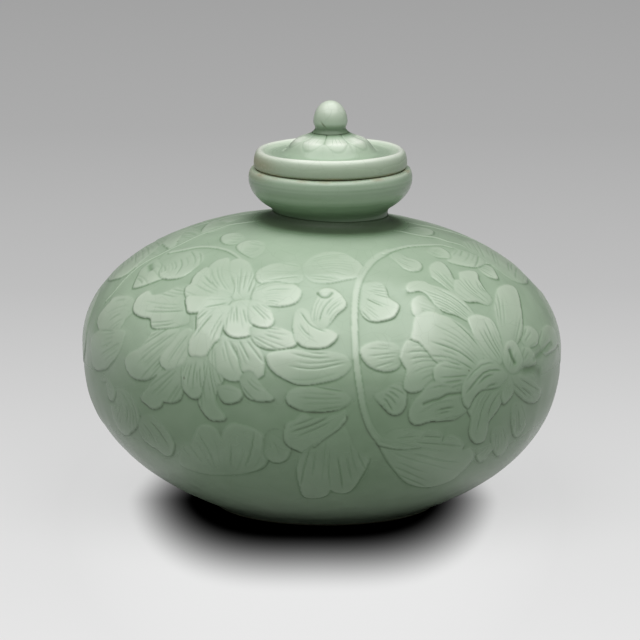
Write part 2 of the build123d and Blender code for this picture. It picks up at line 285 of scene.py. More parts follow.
def carve(inside, above, uv, near, guide, gap, spread, top, tilt, veins, edge):
    """Works out one form: the ground drops sharply below and beside it, and slopes up to it from above."""
    outer = (inside < 0) & (inside > -CUT_WIDTH * 3)
    away = np.maximum(-inside, 0)
    under = 0.12 + 0.88 * ((0.5 - above) / 1.3).clip(0, 1)
    cut = under * (edge * np.exp(-away / 0.3) + 0.07 * np.exp(-away / CUT_WIDTH))
    lift = (1 - under) * np.exp(-away / 1.1)
    # Dark line along the outline, strongest where the edge faces down: painted shade, partly glaze in the cut.
    edge_pool_and_shade = under * np.exp(-((inside + 0.1) / 0.2) ** 2)
    core = inside >= 0
    if guide is None:
        face = top - 0.05 * np.exp(-(inside / 0.25) ** 2)
        comb, bright = np.zeros(len(near)), np.ones(len(near))
    else:
        offset, run, length, _ = along_line(uv, guide)
        s = run / length
        root = (0.25 + 0.75 * (s + 0.05) / 0.35).clip(0.25, 1)
        cut, lift, edge_pool_and_shade = cut * root, lift * root, edge_pool_and_shade * root
        s = s.clip(0, 1)
        comb = combed(offset, run, length, gap, spread, veins) * (inside / 0.5).clip(0, 1)
        face = top - tilt * (1 - s) ** 1.3 - 0.05 * np.exp(-(inside / 0.25) ** 2) - comb
        bright = 0.25 + 0.85 * s ** 0.8

    def lay(places, kept):
        rise = lift * np.maximum(top - 0.07 - flat_relief[places], 0)
        around, within = outer & kept, core & kept
        flat_relief[places[around]] = np.maximum(flat_relief[places] + rise - cut, DEEPEST)[around]
        flat_line[places[around]] = np.maximum(flat_line[places], edge_pool_and_shade)[around]
        flat_relief[places[within]] = face[within]
        flat_petal[places[within]] = bright[within]
        flat_line[places[within]] = (comb / 0.3)[within]

    forms.append((near, core, guide is None, lay))


def leaf(outline, guide, gap=0.95, spread=0.5, top=-0.04, tilt=0.16, veins=0.20, edge=EDGE_CUT):
    """A petal or lobe from its outline and the line that its veins follow, base first."""
    shape = seen_at(outline)
    near, uv, to_map = chart(shape, CUT_WIDTH * 3)
    ring = rounded(to_map(shape))
    middle_line = rounded(to_map(seen_at(guide)), closed=False)
    inside, above = inside_distance(uv, ring)
    carve(inside + GROW, above, uv, near, middle_line, gap, spread, top, tilt, veins, edge)


def stem(points, width, top=-0.05, edge=0.2, taper=0.5):
    """A raised stem of this width along a line."""
    shape = seen_at(points)
    near, uv, to_map = chart(shape, CUT_WIDTH * 3)
    offset, run, length, above = along_line(uv, rounded(to_map(shape), closed=False))
    s = (run / length).clip(0, 1)
    beyond = (np.maximum(-run, run - length)).clip(0, None)
    inside = width * (1 - taper * s) / 2 - np.hypot(offset, beyond)
    carve(inside, above, uv, near, None, 1, 0, top, 0, 0, edge)


def groove(points, depth=0.2, width=0.28):
    """A single cut line."""
    shape = seen_at(points)
    near, uv, to_map = chart(shape, 1.5)
    offset, run, length, _ = along_line(uv, rounded(to_map(shape), closed=False))
    beyond = (np.maximum(-run, run - length)).clip(0, None)
    cut = np.exp(-(offset ** 2 + beyond ** 2) / width ** 2)

    def lay(places, kept):
        flat_relief[places[kept]] -= depth * cut[kept]
        flat_line[places[kept]] = np.maximum(flat_line[places], cut * min(depth / 0.3, 1))[kept]

    forms.append((near, cut > 0.5, False, lay))


# The outlines below were read off the photograph, in places of its 640 x 640 image.

# Leaf spray on the left shoulder
leaf([(203, 231), (206, 224), (214, 219), (222, 220), (228, 224), (216, 229)],
     [(226, 225), (206, 229)], gap=0.8)
leaf([(170, 247), (162, 240), (166, 233), (176, 228), (186, 226), (195, 228), (200, 232), (190, 238),
      (178, 244)], [(200, 234), (184, 231), (167, 240)], gap=0.8)
leaf([(158, 252), (152, 246), (143, 248), (134, 254), (128, 262), (134, 266), (145, 262), (152, 257)],
     [(157, 253), (143, 254), (131, 263)], gap=0.8)
leaf([(158, 257), (161, 265), (160, 272), (163, 275), (158, 278), (150, 281), (142, 284), (133, 286),
      (135, 280), (137, 275), (141, 268), (148, 262), (153, 258)],
     [(140, 268), (150, 272), (156, 281)], gap=1.2, spread=0.1, veins=0.27)
leaf([(222, 238), (224, 234), (234, 232), (241, 234), (244, 238), (236, 242), (226, 242)],
     [(243, 237), (224, 238)], gap=0.9)
leaf([(238, 244), (246, 240), (258, 240), (264, 243), (262, 250), (254, 256), (248, 254), (240, 249)],
     [(262, 246), (240, 245)], gap=0.9)
leaf([(168, 251), (180, 252), (193, 250), (201, 252), (202, 257), (199, 262), (192, 268), (185, 273),
      (178, 276), (168, 277), (161, 275), (160, 270), (163, 263), (160, 257)],
     [(182, 250), (187, 262), (178, 277)], gap=1.25, spread=0.1, veins=0.28)
stem([(268, 218), (245, 221), (230, 223), (218, 227), (203, 232), (190, 238), (178, 244), (160, 253),
      (150, 258), (140, 264), (126, 276), (113, 291), (105, 300)], 1.1)
stem([(170, 251), (185, 248), (198, 245.5), (212, 245.5), (225, 248), (235, 253), (246, 263)], 1.2)
groove([(149, 264), (150, 268)], 0.25, 0.9)

# Flower on the left
leaf([(108, 303), (112, 298), (120, 296), (128, 296), (132, 299), (133, 306), (130, 312), (124, 318),
      (118, 328), (112, 331), (100, 330), (97, 318)], [(132, 304), (114, 308), (100, 318)], gap=1.3)
leaf([(92, 335), (121, 330), (121, 342), (118, 350), (113, 358), (108, 364), (103, 368), (92, 366)],
     [(121, 338), (94, 350)], gap=1.2)
leaf([(125, 360), (130, 354), (139, 349), (147, 340), (153, 331), (165, 329), (178, 330), (170, 345),
      (162, 356), (160, 362), (160, 369), (150, 377), (141, 379), (133, 377), (127, 370)],
     [(178, 331), (152, 350), (130, 372)], gap=0.85, spread=0.25, veins=0.24)
leaf([(160, 362), (162, 355), (172, 343), (182, 331), (190, 330), (190, 343), (188, 352), (188, 360),
      (180, 366), (170, 370), (165, 368)], [(190, 332), (176, 350), (165, 369)],
     gap=0.85, spread=0.25, veins=0.24)
leaf([(217, 338), (228, 337), (236, 350), (240, 365), (241, 378), (232, 380), (224, 377), (214, 369),
      (208, 360), (206, 353), (211, 346)], [(221, 338), (224, 358), (232, 379)], gap=1.1)
leaf([(230, 337), (249, 336), (256, 346), (262, 360), (262, 374), (252, 378), (243, 370), (238, 352)],
     [(238, 338), (256, 374)], gap=1.1)
leaf([(230, 262), (238, 258), (248, 262), (252, 272), (254, 284), (250, 296), (240, 300), (232, 294),
      (229, 280)], [(238, 298), (242, 262)], gap=1.0, tilt=0.34, veins=0.26)
leaf([(232, 302), (248, 300), (250, 318), (250, 332), (240, 336), (229, 334), (224, 326), (228, 312)],
     [(236, 303), (238, 334)], gap=1.0)
leaf([(147, 291), (151, 295), (159, 294), (167, 291), (176, 287), (186, 287), (187, 300), (188, 320),
      (180, 324), (170, 326), (155, 327), (151, 324), (150, 317), (140, 315), (133, 309), (136, 299),
      (141, 294)], [(188, 306), (165, 307), (137, 305)], gap=1.15, spread=0.3, tilt=0.26, veins=0.30)
leaf([(209, 281), (209, 270), (210, 265), (216, 260), (222, 258), (228, 258), (228, 271), (233, 284),
      (230, 294), (220, 289), (213, 286)], [(231, 294), (219, 276), (218, 260)], gap=1.0, tilt=0.34, veins=0.28)
leaf([(191, 283), (194, 276), (200, 270), (207, 267), (210, 281), (214, 287), (230, 294), (215, 297),
      (200, 295), (191, 298), (186, 294), (186, 287)], [(229, 295), (208, 287), (194, 277)],
     gap=1.15, spread=0.6, tilt=0.34, veins=0.30)
leaf([(187, 297), (200, 296), (228, 297), (229, 301), (224, 304), (216, 308), (205, 311), (199, 311),
      (189, 311), (187, 305)], [(230, 299), (208, 302), (188, 305)],
     gap=1.0, spread=0.6, tilt=0.30, veins=0.28)
leaf([(199, 312), (197, 329), (193, 335), (190, 341), (189, 349), (190, 354), (195, 357), (200, 357),
      (205, 354), (208, 349), (213, 342), (217, 338), (222, 325), (226, 315), (228, 305), (215, 309)],
     [(229, 302), (210, 325), (196, 355)], gap=1.35, spread=0.6, veins=0.27)

# Right part of that flower, and the leaf above the middle
leaf([(252, 296), (256, 287), (262, 282), (275, 280), (290, 282), (300, 290), (296, 300), (285, 304),
      (270, 304), (258, 301)], [(254, 296), (275, 291), (298, 293)], gap=0.85)
leaf([(258, 270), (270, 264), (285, 262), (298, 264), (303, 272), (300, 280), (290, 281), (275, 279),
      (262, 281), (257, 277)], [(300, 272), (260, 274)], gap=1.1)
leaf([(290, 392), (305, 388), (325, 388), (342, 392), (350, 400), (340, 408), (320, 411), (300, 409),
      (288, 402)], [(348, 399), (290, 398)], gap=1.3)
leaf([(267, 357), (275, 352), (290, 350), (310, 352), (330, 352), (345, 356), (350, 366), (340, 376),
      (325, 381), (302, 384), (285, 378), (272, 369)], [(348, 362), (310, 368), (270, 361)], gap=1.3)
leaf([(362, 349), (372, 343), (386, 342), (398, 346), (402, 358), (396, 368), (384, 370), (372, 366),
      (364, 358)], [(401, 352), (364, 354)], gap=1.2)
leaf([(251, 327), (262, 326), (270, 327), (285, 330), (294, 336), (295, 344), (285, 347), (270, 348),
      (258, 344), (252, 336)], [(252, 329), (272, 336), (294, 342)], gap=1.1)
leaf([(250, 302), (256, 300), (266, 306), (271, 314), (272, 322), (266, 326), (256, 324), (250, 318)],
     [(251, 303), (270, 323)], gap=0.9)
leaf([(309, 259), (316, 254), (328, 251), (342, 252), (352, 257), (360, 263), (362, 270), (355, 276),
      (345, 278), (335, 280), (322, 281), (312, 279), (305, 272), (304, 264)],
     [(306, 267), (335, 264), (361, 268)], gap=1.0)
leaf([(364, 283), (377, 281), (385, 287), (388, 297), (398, 304), (396, 312), (391, 317), (376, 320),
      (366, 316), (361, 306), (363, 295)], [(362, 294), (378, 301), (396, 309)], gap=1.0, veins=0.27)
leaf([(296, 312), (302, 308), (308, 312), (313, 320), (320, 328), (330, 331), (336, 335), (333, 341),
      (325, 346), (312, 347), (301, 344), (296, 337), (294, 325)], [(298, 311), (310, 328), (332, 338)],
     gap=1.1, veins=0.27)
leaf([(318, 298), (314, 308), (313, 317), (317, 324), (323, 328), (329, 322), (336, 313), (345, 305),
      (343, 298), (337, 291), (330, 288), (322, 289)], [(321, 325), (328, 308), (342, 296)],
     gap=1.0, veins=0.27)
groove([(318, 292), (322, 296), (328, 296), (332, 292)], 0.3, 0.35)

# Leaves low on the left
leaf([(160, 372), (170, 371), (182, 366), (183, 375), (182, 385), (180, 395), (177, 400), (170, 402),
      (162, 401), (159, 406), (152, 408), (146, 404), (141, 398), (148, 388), (155, 380)],
     [(182, 368), (168, 384), (150, 404)], gap=1.2)
leaf([(205, 358), (210, 366), (216, 373), (222, 378), (219, 385), (215, 392), (214, 400), (217, 408),
      (224, 418), (218, 420), (210, 419), (204, 413), (199, 404), (199, 396), (202, 386), (204, 372)],
     [(206, 360), (209, 388), (216, 418)], gap=1.2)
leaf([(183, 366), (190, 358), (200, 358), (206, 358), (204, 372), (201, 385), (199, 395), (194, 398),
      (188, 395), (183, 388), (182, 378)], [(196, 358), (192, 378), (192, 397)], gap=1.1)
leaf([(241, 378), (243, 388), (248, 397), (258, 400), (272, 399), (262, 388), (250, 372)],
     [(243, 376), (252, 388), (270, 399)], gap=1.2)
leaf([(217, 388), (222, 386), (232, 387), (240, 392), (238, 400), (224, 402)],
     [(218, 390), (239, 398)], gap=1.3, veins=0.14)
leaf([(112, 392), (118, 389), (126, 392), (132, 399), (136, 408), (138, 418), (134, 428), (125, 435),
      (118, 430), (112, 415), (110, 402)], [(117, 390), (126, 410), (125, 434)], gap=1.4)
leaf([(100, 380), (105, 379), (107, 396), (111, 400), (114, 392), (108, 382)], [(103, 380), (111, 398)])
leaf([(141, 418), (147, 415), (154, 417), (160, 423), (167, 432), (171, 440), (173, 446), (170, 455),
      (163, 455), (156, 449), (150, 446), (143, 440), (138, 428)], [(142, 417), (156, 434), (169, 455)],
     gap=1.3, veins=0.22)
leaf([(181, 466), (180, 455), (184, 447), (191, 445), (195, 436), (199, 428), (207, 426), (215, 430),
      (221, 440), (224, 432), (231, 425), (243, 427), (255, 431), (262, 437), (264, 446), (268, 456),
      (262, 468), (245, 474), (222, 476), (200, 474)], [(226, 474), (224, 450), (219, 428)],
     gap=2.2, spread=0.6, veins=0.18)

# Faint leaves between them
leaf([(264, 444), (266, 436), (273, 431), (282, 433), (288, 441), (289, 452), (284, 461), (274, 463),
      (266, 456)], [(268, 436), (278, 446), (284, 460)], gap=2.2, top=-0.17, edge=0.08, veins=0.14)
leaf([(384, 440), (392, 432), (406, 430), (420, 432), (431, 431), (424, 438), (410, 442), (396, 443)],
     [(386, 440), (406, 436), (430, 432)], gap=1.6, top=-0.14, edge=0.10, veins=0.18)

# Stem and leaves in the lower middle
stem([(388, 250), (374, 258), (363, 272), (357, 288), (355, 305), (355, 330), (357, 365), (362, 400), (368, 422), (374, 434), (379, 440), (385, 450),
      (390, 458)], 1.5, top=-0.19, edge=0.06, taper=0.0)
leaf([(376, 396), (380, 402), (385, 407), (390, 412), (395, 414), (401, 412), (405, 405), (406, 395),
      (403, 385), (395, 384), (385, 390)], [(382, 392), (392, 397), (402, 409)], gap=1.3)
leaf([(286, 430), (288, 424), (295, 422), (303, 415), (312, 419), (325, 419), (338, 415), (345, 412),
      (340, 422), (333, 431), (326, 438), (318, 446), (315, 451), (303, 452), (294, 449), (287, 444),
      (285, 437)], [(343, 414), (318, 428), (288, 440)], gap=1.5, spread=0.3, veins=0.24)
leaf([(314, 447), (324, 440), (333, 433), (342, 427), (348, 435), (352, 447), (360, 456), (368, 460),
      (362, 475), (352, 490), (345, 494), (335, 493), (330, 490), (326, 496), (318, 499), (305, 498),
      (300, 485), (298, 470), (303, 455)], [(333, 435), (331, 462), (333, 494)],
     gap=2.0, spread=0.45, veins=0.22)
leaf([(380, 441), (388, 440), (397, 443), (410, 443), (421, 441), (426, 436), (432, 431), (438, 432),
      (442, 438), (441, 446), (450, 437), (458, 439), (463, 446), (462, 452), (470, 449), (473, 457),
      (468, 466), (460, 474), (450, 482), (430, 488), (410, 485), (395, 470), (385, 455)],
     [(382, 444), (420, 455), (468, 462)], gap=2.0, spread=0.5, veins=0.22)
stem([(345, 419), (338, 428), (330, 434), (322, 440), (314, 447)], 0.9, top=-0.12, edge=0.1)
stem([(380, 445), (400, 449), (420, 448)], 0.9, top=-0.12, edge=0.1)

# Leaf spray on the right shoulder
leaf([(410, 228), (420, 226), (432, 229), (430, 233), (416, 233)], [(412, 230), (431, 231)], gap=0.9)
stem([(396, 229), (420, 234), (436, 236), (448, 240), (460, 243), (468, 247), (475, 252), (488, 255),
      (500, 262), (512, 270), (522, 277)], 1.0)
leaf([(477, 264), (484, 263), (490, 265), (494, 268), (496, 272), (498, 277), (492, 276), (486, 273),
      (480, 268)], [(478, 265), (497, 276)], gap=0.8)
leaf([(449, 259), (452, 253), (458, 249), (468, 251), (478, 254), (487, 257), (492, 262), (484, 262),
      (478, 265), (470, 265), (460, 263), (453, 261)], [(474, 249), (473, 257), (467, 266)],
     gap=1.3, spread=0.1, veins=0.28)
leaf([(428, 250), (431, 247), (438, 246), (442, 247), (448, 251), (449, 256), (444, 256), (437, 255),
      (431, 252)], [(430, 249), (448, 254)], gap=0.8)
leaf([(391, 254), (397, 251), (402, 253), (408, 257), (415, 259), (420, 262), (421, 266), (418, 269),
      (411, 269), (404, 266), (398, 261), (393, 257)], [(392, 254), (405, 261), (420, 266)], gap=0.8)
stem([(384, 252), (392, 249), (400, 246.5), (410, 244.5), (432, 243.5), (442, 243.5), (452, 246)], 1.2)

# Flower on the right
leaf([(431, 266), (437, 261), (443, 262), (449, 269), (453, 277), (460, 288), (466, 297), (458, 294),
      (448, 287), (440, 280), (433, 275)], [(465, 296), (448, 278), (434, 264)], gap=0.9)
leaf([(456, 290), (456, 280), (461, 279), (461, 272), (470, 270), (477, 272), (479, 279), (486, 290),
      (492, 298), (488, 303), (478, 300), (468, 300), (460, 296)], [(489, 301), (472, 287), (461, 273)],
     gap=1.0)
leaf([(409, 290), (409, 283), (415, 281), (424, 281), (430, 284), (440, 287), (450, 291), (457, 295),
      (465, 302), (472, 310), (478, 320), (482, 330), (476, 325), (466, 318), (456, 313), (448, 311),
      (442, 308), (436, 303), (432, 297), (427, 292), (420, 289)],
     [(481, 328), (450, 300), (411, 285)], gap=0.95, spread=0.5, veins=0.27)
leaf([(418, 296), (425, 296), (432, 303), (442, 312), (434, 312), (427, 312), (420, 316), (414, 312),
      (413, 302)], [(440, 312), (415, 304)], gap=1.0)
leaf([(413, 338), (405, 345), (402, 358), (408, 370), (405, 385), (410, 391), (420, 390), (430, 383),
      (437, 380), (442, 371), (446, 362), (436, 355), (424, 344)], [(444, 364), (424, 366), (405, 374)],
     gap=1.3)
leaf([(540, 335), (548, 326), (556, 330), (560, 340), (552, 350), (545, 352)],
     [(541, 350), (550, 328)], gap=1.2)
leaf([(522, 330), (527, 327), (534, 328), (539, 334), (538, 342), (530, 346), (524, 341)],
     [(524, 344), (533, 328)], gap=1.2)
leaf([(497, 298), (499, 289), (505, 285), (513, 285), (518, 290), (521, 303), (523, 318), (523, 330),
      (519, 340), (512, 346), (506, 350), (502, 340), (499, 326), (496, 312)],
     [(507, 349), (511, 320), (508, 287)], gap=1.1, veins=0.24)
leaf([(470, 318), (478, 315), (486, 317), (492, 320), (498, 330), (502, 345), (505, 357), (500, 363),
      (494, 360), (486, 358), (481, 352), (477, 340), (473, 328)], [(503, 362), (490, 340), (476, 316)],
     gap=1.1, spread=0.5, veins=0.24)
leaf([(416, 318), (421, 315), (427, 312), (434, 312), (441, 315), (450, 318), (462, 325), (472, 335),
      (478, 345), (483, 358), (470, 371), (464, 365), (458, 361), (450, 361), (441, 362), (436, 359),
      (431, 353), (426, 347), (420, 341), (413, 338), (414, 330)],
     [(484, 364), (456, 338), (418, 322)], gap=1.45, spread=0.65, veins=0.28)
leaf([(437, 367), (444, 363), (455, 362), (463, 366), (470, 373), (466, 382), (463, 392), (450, 390),
      (441, 387), (437, 380), (435, 373)], [(470, 375), (452, 376), (436, 376)], gap=1.4, veins=0.27)
leaf([(438, 383), (432, 384), (427, 388), (420, 397), (415, 402), (411, 410), (411, 418), (414, 423),
      (420, 424), (430, 421), (445, 420), (455, 419), (463, 414), (469, 408), (467, 400), (463, 394),
      (450, 388), (442, 386)], [(468, 402), (440, 403), (413, 417)], gap=1.4, spread=0.4, veins=0.27)
groove([(424, 404), (432, 401), (440, 399), (448, 395), (455, 394), (463, 393)], 0.22, 0.3)
leaf([(514, 405), (521, 404), (526, 410), (526, 425), (520, 436), (515, 434), (513, 420)],
     [(518, 405), (519, 435)], gap=1.2)
leaf([(494, 430), (500, 427), (506, 430), (508, 438), (506, 450), (500, 456), (495, 450), (493, 440)],
     [(500, 428), (500, 455)], gap=1.2, veins=0.14)
leaf([(478, 456), (484, 448), (490, 445), (493, 450), (488, 456), (482, 462)], [(491, 447), (481, 460)])
leaf([(472, 405), (480, 395), (492, 387), (502, 380), (509, 377), (509, 386), (505, 397), (498, 410),
      (489, 422), (487, 433), (484, 441), (478, 443), (473, 439), (471, 430), (473, 418), (470, 411)],
     [(508, 378), (488, 405), (478, 441)], gap=1.2, veins=0.24)
leaf([(512, 377), (520, 374), (529, 377), (537, 384), (542, 392), (539, 400), (531, 402), (523, 397),
      (516, 389)], [(513, 378), (528, 388), (540, 399)], gap=1.0, veins=0.24)
leaf([(506, 383), (511, 376), (514, 388), (513, 395), (508, 401), (505, 403), (503, 395)],
     [(511, 378), (506, 402)], gap=1.0)
leaf([(522, 349), (527, 348), (532, 350), (535, 355), (537, 362), (532, 365), (526, 365), (522, 368),
      (521, 360)], [(523, 367), (534, 352)], gap=1.2)
leaf([(480, 362), (486, 360), (494, 361), (500, 366), (507, 373), (508, 377), (504, 382), (500, 386),
      (490, 388), (483, 389), (477, 394), (472, 401), (469, 407), (465, 402), (464, 393), (465, 384),
      (470, 375), (477, 368)], [(506, 374), (486, 378), (468, 400)], gap=1.3, spread=0.3, veins=0.27)
leaf([(506, 348), (508, 343), (513, 341), (517, 344), (520, 350), (523, 358), (522, 366), (516, 372),
      (511, 371), (506, 364), (504, 356)], [(510, 370), (513, 356), (514, 343)], gap=1.5, veins=0.14)
groove([(511, 350), (513, 356), (516, 362)], 0.45, 0.6)
groove([(535, 358), (548, 345), (552, 342)], 0.18, 0.8)
groove([(526, 369), (533, 367), (540, 371)], 0.22, 1.3)

# The back carries the same group turned half round, apart from the leaves that reach over the
# shoulder from the front, which lie over what is there.
OVER_SHOULDER = 2.0
for near, core, is_stem, lay in forms:
    reach = flat_points[near, 1]
    row, column = np.divmod(near, COLUMNS)
    if is_stem or (core.any() and reach[core].max() < OVER_SHOULDER):
        lay(row * COLUMNS + (column + COLUMNS // 2) % COLUMNS, reach < OVER_SHOULDER)
for near, core, is_stem, lay in forms:
    lay(near, near >= 0)
forms.clear()


def side_point(across, up, towards):
    """Points of the body beside a place on its middle plane, towards +X or -X."""
    low, high = np.zeros(len(across)), np.full(len(across), 70.0)
    for _ in range(30):
        mid = (low + high) / 2
        within = level(np.stack([towards * mid, towards * across, EQUATOR + up], axis=1)) < 1
        low, high = np.where(within, mid, low), np.where(within, high, mid)
    return np.stack([towards * low, towards * across, EQUATOR + up], axis=1)


def side_leaf(outline, guide, towards):
    """A leaf between the two groups, from places across and up from the middle of a side."""
    outline, guide = np.array(outline, float), np.array(guide, float)
    shape = side_point(outline[:, 0], outline[:, 1], towards)
    near, uv, to_map = chart(shape, CUT_WIDTH * 3)
    inside, above = inside_distance(uv, rounded(to_map(shape)))
    spine = rounded(to_map(side_point(guide[:, 0], guide[:, 1], towards)), closed=False)
    carve(inside + GROW, above, uv, near, spine, 1.1, 0.3, -0.05, 0.14, 0.2, EDGE_CUT)


for towards in (1, -1):
    side_leaf([(-12, 20), (-6, 26), (5, 25), (11, 20), (3, 17), (-7, 17)], [(-11, 20), (0, 21), (10, 20)], towards)
    side_leaf([(-10, 3), (-4, 13), (6, 12), (11, 3), (3, -4), (-6, -3)], [(-8, 1), (1, 4), (8, 6)], towards)
    side_leaf([(-11, -9), (-3, -7), (9, -12), (7, -19), (-4, -21), (-10, -15)],
              [(-10, -12), (-1, -14), (7, -16)], towards)
for near, core, is_stem, lay in forms:
    lay(near, near >= 0)

# Tool marks on the ground, the soft fade low on the belly, and the glaze that softens every edge
noise = rng.normal(size=relief.shape)


def softened(field, size):
    """The field smoothed by this many millimetres."""
    turns = np.arange(COLUMNS // 2 + 1)
    out = np.fft.rfft(field, axis=1)
    out *= np.exp(-0.5 * (turns[None, :] * size / np.maximum(field_r, 3.0)[:, None]) ** 2)
    out = np.fft.irfft(out, COLUMNS, axis=1)
    n = max(int(3 * size / field_step), 1)
    kernel = np.exp(-0.5 * (np.arange(-n, n + 1) * field_step / size) ** 2)
    kernel /= kernel.sum()
    padded = np.pad(out, ((n, n), (0, 0)), mode="edge")
    return sum(w * padded[i:i + FIELD_ROWS] for i, w in enumerate(kernel))


def evened(field):
    return field / field.std()


marks = 0.018 * evened(softened(noise, 1.4)) + 0.035 * evened(softened(noise[::-1], 5.0))
field_z = field_points[..., 2]
from_neck = np.hypot(field_points[..., 0] - NECK_X, field_points[..., 1])
fade = np.interp(field_z, [3, 12, 26, 36, 46, 58, 62, 66], [0, 0.64, 0.74, 0.86, 1.0, 1.04, 0.82, 0.5])
fade = fade * ((from_neck - 17.0) / 3.0).clip(0, 1)
fade = fade * (1 - 0.3 * ((np.abs(field_points[..., 0]) - 38) / 14).clip(0, 1))
relief[:] = GROUND + (relief - GROUND) * fade + marks
relief = softened(relief, 0.13)
petal = softened(petal * fade, 0.25)
line = softened(line * fade, 0.09)
pooled = ((softened(relief, 0.5) - relief) / 0.12).clip(-0.15, 1.0)
# Darker where the ground lies lower than its surroundings next to petals: partly glaze pooling, partly painted
# shade.
hollow_pool_and_shade = ((softened(relief, 1.8) - relief) / 0.2).clip(-0.5, 1.0)
relief = np.minimum(relief, -0.01)


# ---------- mesh building ----------

def build(name, verts, groups, body, material, layers):
    """One mesh piece from points in mm and groups of faces with the same number of corners."""
    mesh = bpy.data.meshes.new(name)
    verts = np.asarray(verts, float) * MM
    loops = np.concatenate([g.reshape(-1) for g in groups])
    sizes = np.concatenate([np.full(len(g), g.shape[1]) for g in groups])
    starts = np.r_[0, np.cumsum(sizes)[:-1]]
    mesh.vertices.add(len(verts))
    mesh.vertices.foreach_set("co", verts.reshape(-1).astype(np.float32))
    mesh.loops.add(len(loops))
    mesh.loops.foreach_set("vertex_index", loops.astype(np.int32))
    mesh.polygons.add(len(sizes))
    mesh.polygons.foreach_set("loop_start", starts.astype(np.int32))
    mesh.polygons.foreach_set("use_smooth", np.ones(len(sizes), bool))
    mesh.update(calc_edges=True)
    for key, values in layers.items():
        layer = mesh.attributes.new(key, "FLOAT", "POINT")
        layer.data.foreach_set("value", np.asarray(values, np.float32).reshape(-1))
    mesh.materials.append(material)
    piece = bpy.data.objects.new(name, mesh)
    bpy.context.scene.collection.objects.link(piece)
    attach(piece, body)
    return piece


def strip(first_a, first_b, count):
    """Quads between two rings of the same count, the second one after the first."""
    j = np.arange(count)
    k = (j + 1) % count
    return np.stack([first_a + j, first_b + j, first_b + k, first_a + k], axis=1)


def lathe(rows_r, rows_z, segments, closed, centre_x):
    """Rings of a turned form with the faces between them. Poles close an open profile."""
    turn = 2 * np.pi * np.arange(segments) / segments
    x = centre_x + rows_r[:, None] * np.cos(turn)
    y = rows_r[:, None] * np.sin(turn)
    z = np.broadcast_to(rows_z[:, None], x.shape)
    verts = np.stack([x, y, z], axis=-1).reshape(-1, 3)
    n = len(rows_r)
    last = n if closed else n - 1
    faces = np.vstack([strip(i * segments, (i + 1) % n * segments, segments) for i in range(last)])
    groups = [faces]
    if not closed:
        j = np.arange(segments)
        k = (j + 1) % segments
        top, bottom = len(verts), len(verts) + 1
        end = (n - 1) * segments
        ends = np.array([[centre_x, 0, rows_z[0]], [centre_x, 0, rows_z[-1]]])
        verts = np.vstack([verts, ends])
        groups.append(np.stack([np.full(segments, top), j, k], axis=1))
        groups.append(np.stack([end + j, np.full(segments, bottom), end + k], axis=1))
    return verts, groups, turn


def line_through(points, start=None, end=None, step=0.22):
    """Even points on a smooth line through a few points, with the directions of its ends."""
    p = np.asarray(points, float)
    t = np.r_[0, np.cumsum(np.hypot(*np.diff(p, axis=0).T))]
    n = len(p)
    d = np.diff(t)
    a = np.zeros((n, n))
    b = np.zeros((n, 2))
    for i in range(1, n - 1):
        a[i, i - 1:i + 2] = d[i], 2 * (d[i - 1] + d[i]), d[i - 1]
        b[i] = 3 * (d[i] * (p[i] - p[i - 1]) / d[i - 1] + d[i - 1] * (p[i + 1] - p[i]) / d[i])
    for i, given, chord in ((0, start, p[1] - p[0]), (n - 1, end, p[-1] - p[-2])):
        a[i, i] = 1
        given = chord if given is None else np.asarray(given, float)
        b[i] = given / np.hypot(*given)
    m = np.linalg.solve(a, b)
    out = []
    for i in range(n - 1):
        s = np.linspace(0, 1, max(int(d[i] / step), 2), endpoint=False)[:, None]
        out.append((1 + 2 * s) * (1 - s) ** 2 * p[i] + s * (1 - s) ** 2 * d[i] * m[i]
                   + s ** 2 * (3 - 2 * s) * p[i + 1] + s ** 2 * (s - 1) * d[i] * m[i + 1])
    return np.vstack(out + [p[-1:]])


def joined(*lines):
    """Lines one after another, without the points that meet."""
    rows = [lines[0]]
    for line in lines[1:]:
        rows.append(line[1:])
    return np.vstack(rows)


def straight(a, b, step=0.4):
    n = max(int(np.hypot(b[0] - a[0], b[1] - a[1]) / step), 1) + 1
    return np.linspace(a, b, n)


# ---------- materials ----------

def new_material(name):
    material = bpy.data.materials.new(name)
    material.use_nodes = True
    tree = material.node_tree
    tree.nodes.clear()
    return material, tree


def add(tree, kind, values=None, **settings):
    """A node with its settings, and its inputs as values or links."""
    node = tree.nodes.new(kind)
    for key, value in settings.items():
        setattr(node, key, value)
    for key, value in (values or {}).items():
        if isinstance(value, bpy.types.NodeSocket):
            tree.links.new(value, node.inputs[key])
        else:
            node.inputs[key].default_value = value
    return node


def ramp(tree, fac, stops):
    node = add(tree, "ShaderNodeValToRGB", {"Fac": fac})
    points = node.color_ramp.elements
    while len(points) < len(stops):
        points.new(0.5)
    for point, (place_at, colour) in zip(points, stops):
        point.position = place_at
        point.color = (*colour, 1.0) if len(colour) == 3 else colour
    return node.outputs["Color"]


def blend_colour(tree, fac, a, b, mode="MIX"):
    node = add(tree, "ShaderNodeMix", data_type="RGBA", blend_type=mode)
    for key, value in ((0, fac), (6, a), (7, b)):
        if isinstance(value, bpy.types.NodeSocket):
            tree.links.new(value, node.inputs[key])
        else:
            node.inputs[key].default_value = value if key == 0 else (*value, 1.0)
    return node.outputs[2]


def math_node(tree, operation, a, b=0.0, clamp=False):
    return add(tree, "ShaderNodeMath", {0: a, 1: b}, operation=operation, use_clamp=clamp).outputs[0]


GLAZE_PALE = (0.84, 0.90, 0.79)
GLAZE_THIN = (0.60, 0.70, 0.565)
GLAZE_MID = (0.41, 0.53, 0.39)
GLAZE_DEEP = (0.20, 0.305, 0.185)
# The darkest colour stands both for deep pooled glaze and for painted shade under the collar and round the neck.
GLAZE_POOLED_AND_SHADED = (0.085, 0.125, 0.07)
CLAY = (0.42, 0.36, 0.25)
STAIN = (0.34, 0.32, 0.17)


